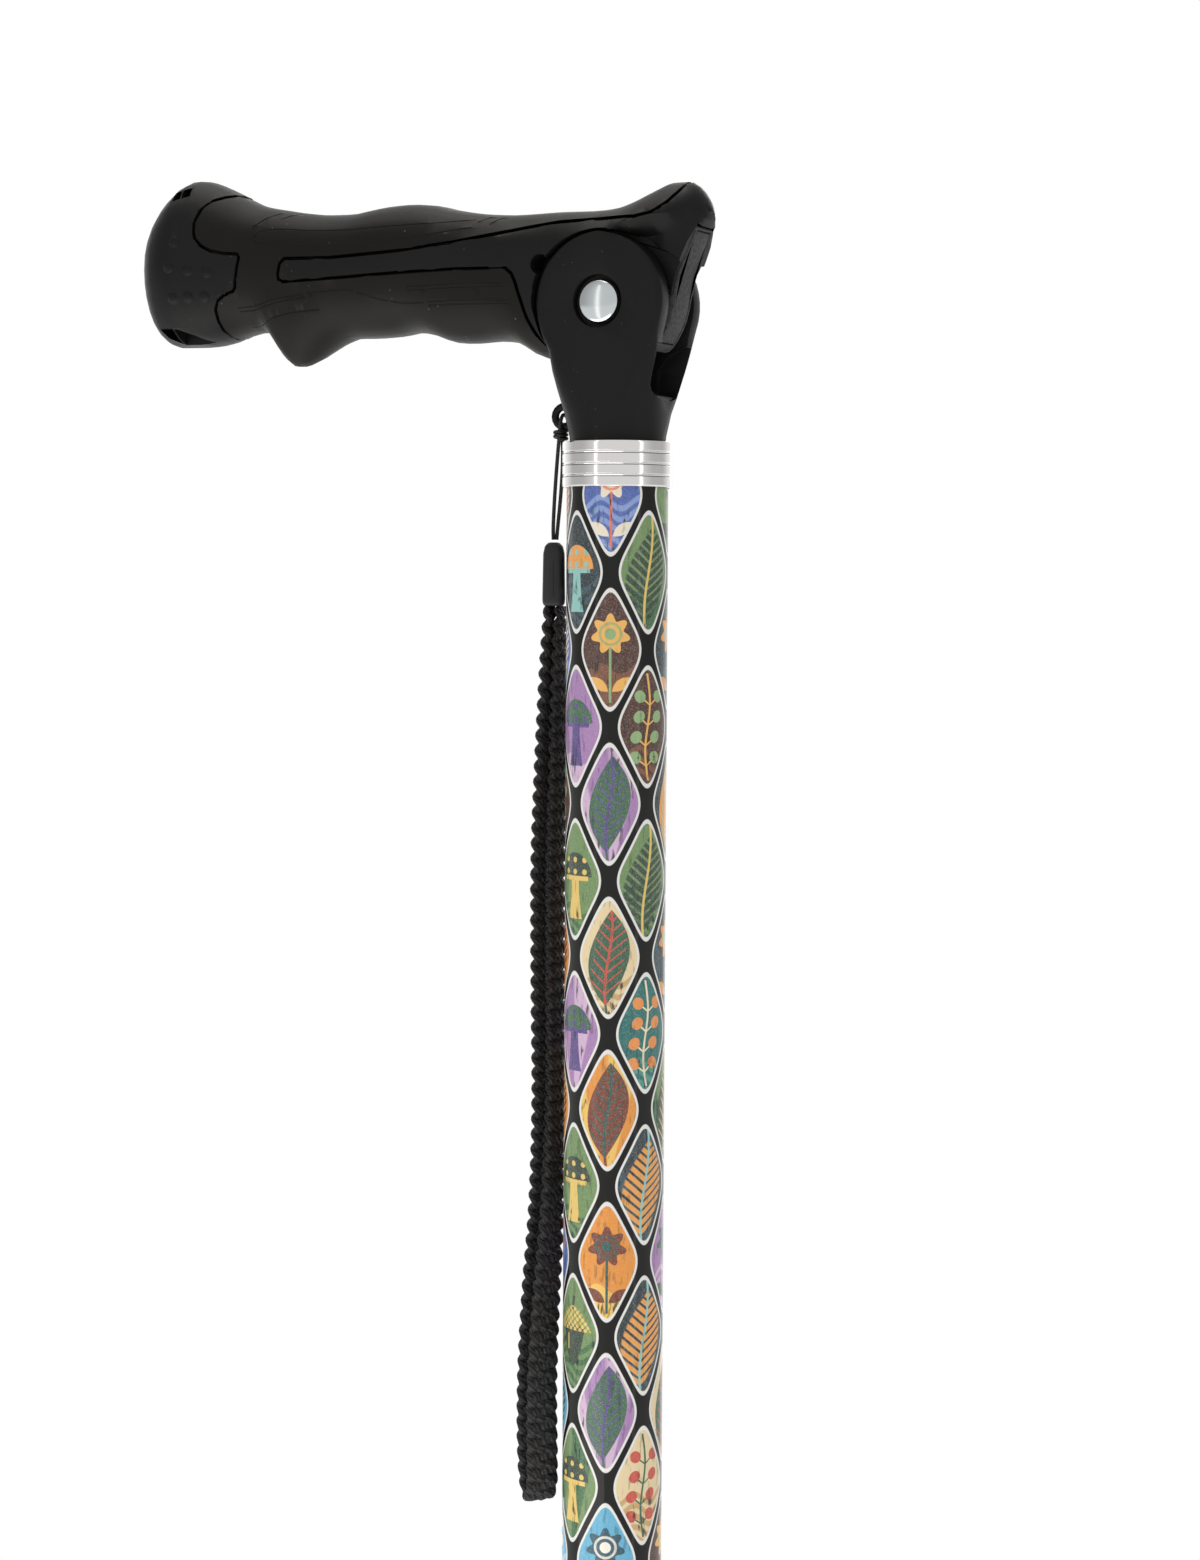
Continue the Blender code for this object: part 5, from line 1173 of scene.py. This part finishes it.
    def braid(self) -> None:
        """Plaits the strands, each with a flat oval section and a UV map of millimetres along and turns around."""
        route = self.frames(self.samples)
        length = sum((b[0] - a[0]).length for a, b in zip(route, route[1:]))
        sides = self.sides
        points, faces, marks = [], [], []
        for strand in range(self.strands):
            line = self.middle_line(route, length, strand)
            first = len(points)
            travel = 0.0
            for i, place in enumerate(line):
                step = (line[min(i + 1, len(line) - 1)] - line[max(i - 1, 0)]).normalized()
                wide = route[i][1]
                flat = (wide - step * wide.dot(step)).normalized()
                proud = step.cross(flat)
                before, travel = travel, travel + (place - line[max(i - 1, 0)]).length / MM
                for k in range(sides):
                    angle = math.tau * k / sides
                    points.append(place + flat * (self.strand_width / 2 * MM * math.cos(angle))
                                  + proud * (self.strand_thickness / 2 * MM * math.sin(angle)))
                if i:
                    low, high = first + (i - 1) * sides, first + i * sides
                    for k in range(sides):
                        n = (k + 1) % sides
                        faces.append((low + k, low + n, high + n, high + k))
                        marks.append([(before, k / sides), (before, (k + 1) / sides),
                                      (travel, (k + 1) / sides), (travel, k / sides)])
            last = first + (len(line) - 1) * sides
            faces.append(tuple(first + k for k in reversed(range(sides))))
            faces.append(tuple(last + k for k in range(sides)))
            marks += [[(0.0, k / sides) for k in range(sides)]] * 2
        piece = Workshop.from_parts("wrist_braid", points, faces=faces)
        layer = piece.data.uv_layers.new(name="UVMap")
        for polygon, corners in zip(piece.data.polygons, marks):
            for loop, uv in zip(polygon.loop_indices, corners):
                layer.data[loop].uv = uv
        with Workshop.editing(piece):
            bpy.ops.mesh.normals_make_consistent(inside=False)
        Workshop.smooth(piece, CORD_ANGLE)
        Workshop.finish(piece, self.finishes.yarn, Body.HEAD, "braid", "wrist_strap")

    def thin_cord(self, name: str, points: Sequence[Vector], sides: int, node: str) -> bpy.types.Object:
        """Sweeps the thin cord along points, mapped by height and by the way that its faces point.

        Args:
            name: The piece's name.
            points: Its middle line.
            sides: Its section's sides.
            node: The solid that it stands for.

        Returns:
            The piece.
        """
        piece = Workshop.tube(name, points, self.cord_radius, sides)
        mesh = piece.data
        layer = mesh.uv_layers.get("UVMap") or mesh.uv_layers.new(name="UVMap")
        for polygon in mesh.polygons:
            for loop in polygon.loop_indices:
                vertex = mesh.vertices[mesh.loops[loop].vertex_index]
                turn = math.atan2(vertex.normal.y, vertex.normal.x) / math.tau
                layer.data[loop].uv = (vertex.co.z / MM, turn)
        Workshop.finish(piece, self.finishes.cord, Body.HEAD, "braid", node)
        return piece

    def cord(self) -> None:
        """Leads the thin cord through the lug and back."""
        rows = smooth_route(self.loop_route, self.cord_points)
        points = [Vector((x * MM, y * MM, PIVOT_Z + z * MM)) for x, y, z in rows]
        piece = self.thin_cord("lug_cord", points, 10, "cord_loop")

    def knot(self) -> None:
        """Winds the hitch around both legs of the cord, just under the lug."""
        (x, low), (depth, width), steps = self.hitch_place, self.hitch_reach, self.hitch_steps
        points = []
        for i in range(int(self.hitch_turns * steps) + 1):
            angle = math.tau * i / steps - self.hitch_start
            height = low + self.hitch_pitch * i / steps
            points.append(Vector(((x + depth * math.cos(angle)) * MM, width * math.sin(angle) * MM,
                                  PIVOT_Z + height * MM)))
        self.thin_cord("hitch_knot", points, 8, "cord_hitch")

    def crimp(self) -> None:
        """Finishes the moulded cap that joins cord and braid, with its small slot."""
        piece = Workshop.copied("crimp_cap", "crimp_cap_finished", self.cap_angle, self.cap_rounding)
        surface = Workshop.surface(piece)
        way = Vector((-math.sin(self.crimp_turn), math.cos(self.crimp_turn), 0.0))
        mark = []
        for i in range(self.slot_points):
            height = Vector((0, 0, self.slot_top - self.slot_length * i / (self.slot_points - 1)))
            place, normal, _, _ = surface.ray_cast(Vector(self.slot_middle) - way * self.slot_start + height, way)
            if place is not None:
                mark.append(place + normal * self.slot_proud)
        Workshop.boolean(piece, Workshop.tube("crimp_mark", mark, self.slot_radius))
        Workshop.smooth(piece, self.cap_angle)
        Workshop.finish(piece, self.finishes.nylon, Body.HEAD, "hard_black", "crimp_cap")

    def build(self) -> None:
        """Builds the strap from the lug down."""
        self.braid()
        self.cord()
        self.knot()
        self.crimp()


@dataclass
class Handle:
    """Hard core, soft skin and pommel cap of the cane handle, with the fine lines and dots of their moulds."""

    finishes: Finishes
    angle: float = 38.0
    pommel_angle: float = 30.0
    rim_angle: float = 40.0
    least_lean: float = 0.5
    seam: float = 0.25 * MM
    seam_depth: float = 2.5 * MM
    seam_fill: float = 0.14 * MM
    hub_reach: float = 17.0 * MM
    wall_tilt: float = 0.003
    flank: float = 4.5 * MM
    ray_start: float = 0.04
    line_step: float = 0.9
    fewest_points: int = 6
    line_radius: float = 0.24 * MM
    line_proud: float = 0.12 * MM
    dot_radius: float = 1.3
    dot_rise: float = 0.42
    dots: tuple[Pair, ...] = (
        (-104.0, 16.4), (-105.3, 10.7), (-100.6, 9.9), (-96.0, 9.4), (-105.0, 3.9), (-101.1, 3.7), (-97.1, 3.7))
    lines: tuple[tuple[Pair, ...], ...] = (
        ((-84.9, 16.9), (-84.1, 18.1), (-80.2, 18.6), (-70.5, 17.9), (-61.0, 17.6), (-51.5, 17.9),
         (-39.7, 18.3), (-30.5, 18.9)),
        ((-84.3, 16.0), (-80.2, 15.4), (-69.9, 14.4), (-60.4, 14.3), (-47.8, 15.0), (-39.1, 15.9),
         (-30.6, 17.0)),
        ((-90.0, 1.5), (-85.5, 1.9), (-79.6, 3.2), (-71.9, 4.0)),
        ((-70.9, 4.1), (-64.8, 4.4), (-59.8, 4.4), (-57.2, 3.5), (-53.5, 2.3), (-47.8, 1.2), (-41.7, 1.0)),
        ((-40.7, 1.1), (-32.4, 1.2), (-21.4, 1.0)),
        ((-89.5, -2.5), (-85.5, -2.1), (-80.3, -0.6), (-75.1, 0.1), (-68.7, 0.4)),
        ((-45.3, 4.6), (-38.5, 4.7), (-30.5, 4.8), (-22.4, 4.7)),
        ((-89.9, 0.7), (-85.4, 1.1), (-79.4, 2.4), (-71.8, 3.2)),
        ((-40.6, 0.3), (-32.4, 0.4), (-21.2, 0.2)),
        ((-45.2, 3.8), (-38.5, 3.9), (-30.5, 4.0), (-22.3, 3.9)),
        ((-85.8, 19.3), (-82.9, 21.8), (-79.6, 23.0), (-78.4, 23.1)),
        ((-79.8, 21.1), (-77.7, 22.3), (-75.4, 22.5)),
        ((-29.8, 18.2), (-27.8, 19.4), (-26.7, 19.6)),
        ((-26.7, 17.5), (-25.1, 19.0), (-24.0, 19.2)))

    def is_wall(self, face: bmesh.types.BMFace) -> bool:
        """Tells whether a face runs straight across the handle, as the walls of its joints do."""
        return abs(face.normal.y) < self.wall_tilt

    def open_seams(self, piece: bpy.types.Object) -> None:
        """Leans the walls of the joints back at their rims, so that each joint reads as a soft groove.

        Deep inside, outside the hub, the walls swell towards each other, so that no joint can be seen through.

        Args:
            piece: A moulding of the handle.
        """
        mesh = bmesh.new()
        mesh.from_mesh(piece.data)
        for depth in (-self.seam_depth, self.seam_depth):
            walls = filter(self.is_wall, mesh.faces)
            cut = {part for face in walls for part in (face, *face.edges, *face.verts)}
            bmesh.ops.bisect_plane(mesh, geom=list(cut), dist=TOUCH, plane_co=(0.0, depth, 0.0),
                                   plane_no=(0.0, 1.0, 0.0))
        rim = math.radians(self.rim_angle)
        swell: dict[bmesh.types.BMVert, Vector] = {}
        lean: dict[bmesh.types.BMVert, Vector] = {}
        for face in filter(self.is_wall, mesh.faces):
            for vertex in face.verts:
                x, y, z = vertex.co
                if abs(abs(y) - self.seam_depth) < TOUCH and math.hypot(x, z - PIVOT_Z) > self.hub_reach:
                    swell[vertex] = swell.get(vertex, Vector()) + face.normal
        for edge in mesh.edges:
            if len(edge.link_faces) != 2 or not edge.is_convex or edge.calc_face_angle(0.0) < rim:
                continue
            walls = list(filter(self.is_wall, edge.link_faces))
            if len(walls) == 1:
                for vertex in edge.verts:
                    lean[vertex] = lean.get(vertex, Vector()) + walls[0].normal
        for vertex, way in swell.items():
            vertex.co += way.normalized() * self.seam_fill
        for vertex, way in lean.items():
            if way.length > self.least_lean:
                vertex.co -= way.normalized() * self.seam
        mesh.to_mesh(piece.data)
        mesh.free()

    def landing(self, surface: BVHTree, x: float, z: float, side: int) -> tuple[Vector, Vector] | None:
        """Finds where a line across the staff lands on a piece.

        Args:
            surface: The piece's faces.
            x: Millimetres from the pivot.
            z: Millimetres over the pivot.
            side: -1 for the seen side, 1 for the other.

        Returns:
            Place and normal, or nothing where the line misses the outer surface.
        """
        start = Vector((x * MM, side * self.ray_start, PIVOT_Z + z * MM))
        place, normal, _, _ = surface.ray_cast(start, Vector((0.0, -side, 0.0)))
        if place is None or abs(place.y) < self.flank:
            return None
        return place, normal

    def score_lines(self, piece: bpy.types.Object) -> None:
        """Cuts the fine mould lines into both flanks.

        Args:
            piece: The skin.
        """
        surface = Workshop.surface(piece)
        tools = []
        for side in (-1, 1):
            for i, line in enumerate(self.lines):
                length = sum(math.dist(p, q) for p, q in zip(line, line[1:]))
                count = max(int(length / self.line_step), self.fewest_points)
                rows = smooth_route([(x, z, 0.0) for x, z in line], count)
                found = [self.landing(surface, x, z, side) for x, z, _ in rows]
                points = [place + normal * self.line_proud for place, normal in filter(None, found)]
                if len(points) > 3:
                    tools.append(Workshop.tube(f"line_{side}_{i}", points, self.line_radius))
        Workshop.boolean(piece, Workshop.joined(tools))

    def raise_dots(self, piece: bpy.types.Object) -> None:
        """Raises the grip dots on both flanks.

        Args:
            piece: The pommel cap.
        """
        surface = Workshop.surface(piece)
        ball = (self.dot_radius ** 2 + self.dot_rise ** 2) / (2 * self.dot_rise)
        domes = []
        for side in (-1, 1):
            for place, normal in filter(None, (self.landing(surface, x, z, side) for x, z in self.dots)):
                bpy.ops.mesh.primitive_ico_sphere_add(subdivisions=4, radius=ball * MM,
                                                      location=place - normal * ((ball - self.dot_rise) * MM))
                domes.append(bpy.context.object)
        Workshop.boolean(piece, Workshop.joined(domes), "UNION")

    def build(self) -> None:
        """Finishes the three mouldings."""
        soft, hard = self.finishes.soft_grip, self.finishes.hard_black
        for node, name, material, slot, detail, degrees in (
                ("grip_overmould", "grip_skin", soft, "soft_grip", self.score_lines, self.angle),
                ("handle_core", "hard_shell", hard, "hard_black", None, self.angle),
                ("pommel_cap", "pommel", hard, "hard_black", self.raise_dots, self.pommel_angle)):
            piece = Workshop.copied(node, name, self.angle)
            self.open_seams(piece)
            if detail:
                detail(piece)
            Workshop.smooth(piece, degrees)
            Workshop.finish(piece, material, Body.HANDLE, slot, node)


@dataclass
class Latch:
    """Rocking lever with its grained pad."""

    finishes: Finishes
    rounding: float = 0.4 * MM

    def build(self) -> None:
        """Finishes lever and pad."""
        for node, name, degrees in (("latch_lever", "lever_arm", 32.0), ("lever_pad", "lever_grip", 40.0)):
            Workshop.dress(node, name, self.finishes.lever_grey, Body.LEVER, "lever_grey", degrees, self.rounding)


@dataclass
class ForkHead:
    """Fork with its lug, the pivot bolt and its nut, and the ribbed collar; sizes in millimetres."""

    finishes: Finishes
    seat: float = 9.4
    head_radius: float = 4.7
    head_rise: float = 1.4
    head_rounding: float = 0.15
    dome_start: float = 6.0
    dome_steps: int = 14
    dome_sides: int = 64
    collar_radius: float = 12.1
    collar_top: float = 840.7
    collar_height: float = 10.0
    collar_sides: int = 160
    collar_angle: float = 24.0
    bands: int = 4
    collar_bore: float = 11.41
    lip_bore: float = 10.9
    lip_height: float = 1.2
    shadow_fall: float = 0.23
    fork_angle: float = 36.0
    fork_rounding: float = 0.22
    rim: tuple[Pair, ...] = ((0.45, 0.0), (0.10, 0.10), (0.0, 0.35), (0.0, 0.5))
    groove: tuple[Pair, ...] = (
        (0.0, 0.52), (0.0, 0.38), (0.06, 0.32), (0.26, 0.27), (0.26, 0.19), (0.10, 0.13), (0.04, 0.0),
        (0.10, -0.13), (0.24, -0.19), (0.24, -0.26), (0.06, -0.31), (0.0, -0.37), (0.0, -0.52))

    @classmethod
    def groove_heights(cls) -> list[float]:
        """Gives the middle of each of the collar's three grooves."""
        return [cls.collar_top - cls.collar_height / cls.bands * i for i in range(1, cls.bands)]

    @classmethod
    def painted_groove_shadows(cls) -> tuple[float, ...]:
        """Gives the heights in metres of the painted shade line that lies low in each groove."""
        return tuple((z - cls.shadow_fall) * MM for z in cls.groove_heights())

    def dome(self, name: str, edge: float, side: float) -> bpy.types.Object:
        """Turns a domed head that lies on its counterbore's floor.

        Args:
            name: The piece's name.
            edge: Height of its cylindrical part.
            side: 1 for the seen side, -1 for the other.

        Returns:
            The piece.
        """
        low, radius, small = self.seat, self.head_radius, self.head_rounding
        start, steps = self.dome_start, self.dome_steps
        profile = [(0.0, low), (radius - small, low), (radius, low + small), (radius, low + edge - small)]
        for i in range(steps + 1):
            angle = math.radians(start + (90.0 - start) * i / steps)
            profile.append((radius * math.cos(angle) if i < steps else 0.0,
                            low + edge + self.head_rise * math.sin(angle)))
        piece = Workshop.lathe(name, profile, self.dome_sides)
        piece.data.transform(Matrix.Translation((0.0, 0.0, PIVOT_Z)) @ Matrix.Rotation(-side * math.pi / 2, 4, "X"))
        return piece

    def collar(self) -> bpy.types.Object:
        """Turns the collar: four flat bands, and between them grooves with a thin bead in each.

        Returns:
            The piece.
        """
        radius, top, bottom = self.collar_radius, self.collar_top, self.collar_top - self.collar_height
        profile = [(self.lip_bore, top), *((radius - drop, top - fall) for drop, fall in self.rim)]
        for z in self.groove_heights():
            profile += [(radius - drop, z + rise) for drop, rise in self.groove]
        profile += [(radius - drop, bottom + rise) for drop, rise in reversed(self.rim)]
        profile += [(self.collar_bore, bottom), (self.collar_bore, top - self.lip_height),
                    (self.lip_bore, top - self.lip_height)]
        piece = Workshop.lathe("turned_collar", profile, self.collar_sides, closed=True)
        Workshop.smooth(piece, self.collar_angle)
        return piece

    def build(self) -> None:
        """Finishes fork, bolt, nut and collar."""
        Workshop.dress("fork", "fork_moulding", self.finishes.hard_black, Body.HEAD, "hard_black", self.fork_angle,
                       self.fork_rounding * MM)
        for node, name, edge, side in (("pivot_bolt", "bolt_head", 0.5, 1.0), ("pivot_nut", "nut_head", 1.1, -1.0)):
            Workshop.finish(self.dome(name, edge, side), self.finishes.chrome, Body.HEAD, "chrome", node)
        Workshop.finish(self.collar(), self.finishes.collar, Body.HEAD, "ribbed_aluminium", "collar")


@dataclass
class Shaft:
    """Printed upper tube, dark lower tube, snap button, ring group and foot; sizes in millimetres."""

    finishes: Finishes
    outer: float = 11.11
    inner: float = 9.91
    bottom: float = 289.2
    top: float = 839.2
    button_z: float = 420.8
    hole_pitch: float = 25.4
    hole_radius: float = 3.3
    drill_length: float = 20.0
    drill_sides: int = 40
    holes: range = range(-4, 3)
    rim_rounding: float = 0.16 * MM
    rim_angle: float = 50.0
    tube_angle: float = 40.0
    solid_angle: float = 36.0
    foot_radius: float = 18.0
    foot_sides: int = 72
    socket: tuple[Pair, ...] = ((0.0, 9.0), (9.825, 9.0), (9.825, 42.0), (11.7, 42.0), (12.3, 41.6), (12.6, 40.8))
    ring_heights: tuple[float, ...] = (37.0, 33.0, 29.0)
    ring: tuple[Pair, ...] = ((12.7, 0.9), (13.35, 0.55), (13.6, 0.0), (13.35, -0.6), (12.7, -1.0))
    flare: tuple[Pair, ...] = (
        (12.75, 18.0), (13.4, 14.6), (14.75, 11.0), (16.4, 7.4), (17.3, 5.2), (17.85, 3.9), (18.0, 3.0),
        (18.0, 1.2), (17.75, 0.4), (17.2, 0.0))
    tread: tuple[Pair, ...] = ((0.9, 0.0), (0.6, 1.5), (-0.6, 1.5), (-0.9, 0.0))
    tread_shares: Pair = (0.78, 0.52)

    def printed_tube(self) -> None:
        """Bores the holes through one wall and rounds their rims."""
        piece = Workshop.lathe("printed_shaft", [(self.outer, self.top), (self.outer, self.bottom),
                                                 (self.inner, self.bottom), (self.inner, self.top)], closed=True)
        drills = []
        for i in self.holes:
            place = (0, -self.drill_length / 2 * MM, (self.button_z + i * self.hole_pitch) * MM)
            bpy.ops.mesh.primitive_cylinder_add(vertices=self.drill_sides, radius=self.hole_radius * MM,
                                                depth=self.drill_length * MM, location=place,
                                                rotation=(math.pi / 2, 0, 0))
            drills.append(bpy.context.object)
        Workshop.boolean(piece, Workshop.joined(drills))
        Workshop.bevel(piece, self.rim_rounding, self.rim_angle)
        Workshop.smooth(piece, self.tube_angle)
        Workshop.finish(piece, self.finishes.film, Body.HEAD, "printed_tube", "upper_tube")

    def foot(self) -> None:
        """Turns the flared foot with its rings and tread."""
        profile = list(self.socket)
        for z in self.ring_heights:
            profile += [(radius, z + rise) for radius, rise in self.ring]
        profile += self.flare
        for share in self.tread_shares:
            profile += [(self.foot_radius * share + way, rise) for way, rise in self.tread]
        piece = Workshop.lathe("rubber_foot", profile + [(0.0, 0.0)], self.foot_sides)
        Workshop.finish(piece, self.finishes.rubber, Body.LOWER, "rubber", "ferrule")

    def build(self) -> None:
        """Builds the shaft downwards."""
        self.printed_tube()
        self.foot()
        for node, name, material, body, slot in (
                ("lower_tube", "inner_shaft", self.finishes.anodised, Body.LOWER, "anodised_tube"),
                ("locking_ring", "fluted_ring", self.finishes.nylon, Body.RING, "nylon"),
                ("end_sleeve", "end_sleeve_finished", self.finishes.nylon, Body.HEAD, "nylon"),
                ("snap_button", "snap_button_finished", self.finishes.chrome, Body.BUTTON, "chrome")):
            Workshop.dress(node, name, material, body, slot, self.solid_angle)


def dress_hidden(finishes: Finishes) -> None:
    """Gives the solids that stay as they are their materials.

    Args:
        finishes: The staff's materials.
    """
    for material, nodes in (
            (finishes.steel, ("spigot_pin", "hex_sleeve", "index_disc", "cap_screw", "lever_pin", "lever_spring",
                              "ferrule_washer", "button_spring")),
            (finishes.nylon, ("near_thrust_washer", "far_thrust_washer", "tube_guide")),
            (finishes.bronze, ("near_bush", "far_bush")), (finishes.rubber, ("anti_rattle_bush",))):
        for node in nodes:
            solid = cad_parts[node]
            solid.data.materials.clear()
            solid.data.materials.append(material)
            LOG.info("%s keeps its solid", node)


def main() -> None:
    """Builds the studio and the staff."""
    logging.basicConfig(level=logging.INFO, format="%(name)s %(message)s")
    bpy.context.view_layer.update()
    bpy.ops.object.select_all(action="DESELECT")
    Studio().build()
    finishes = Finishes()
    for maker in (WristStrap, Handle, Latch, ForkHead, Shaft):
        maker(finishes).build()
    dress_hidden(finishes)
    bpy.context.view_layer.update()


if __name__ == "__main__":
    main()
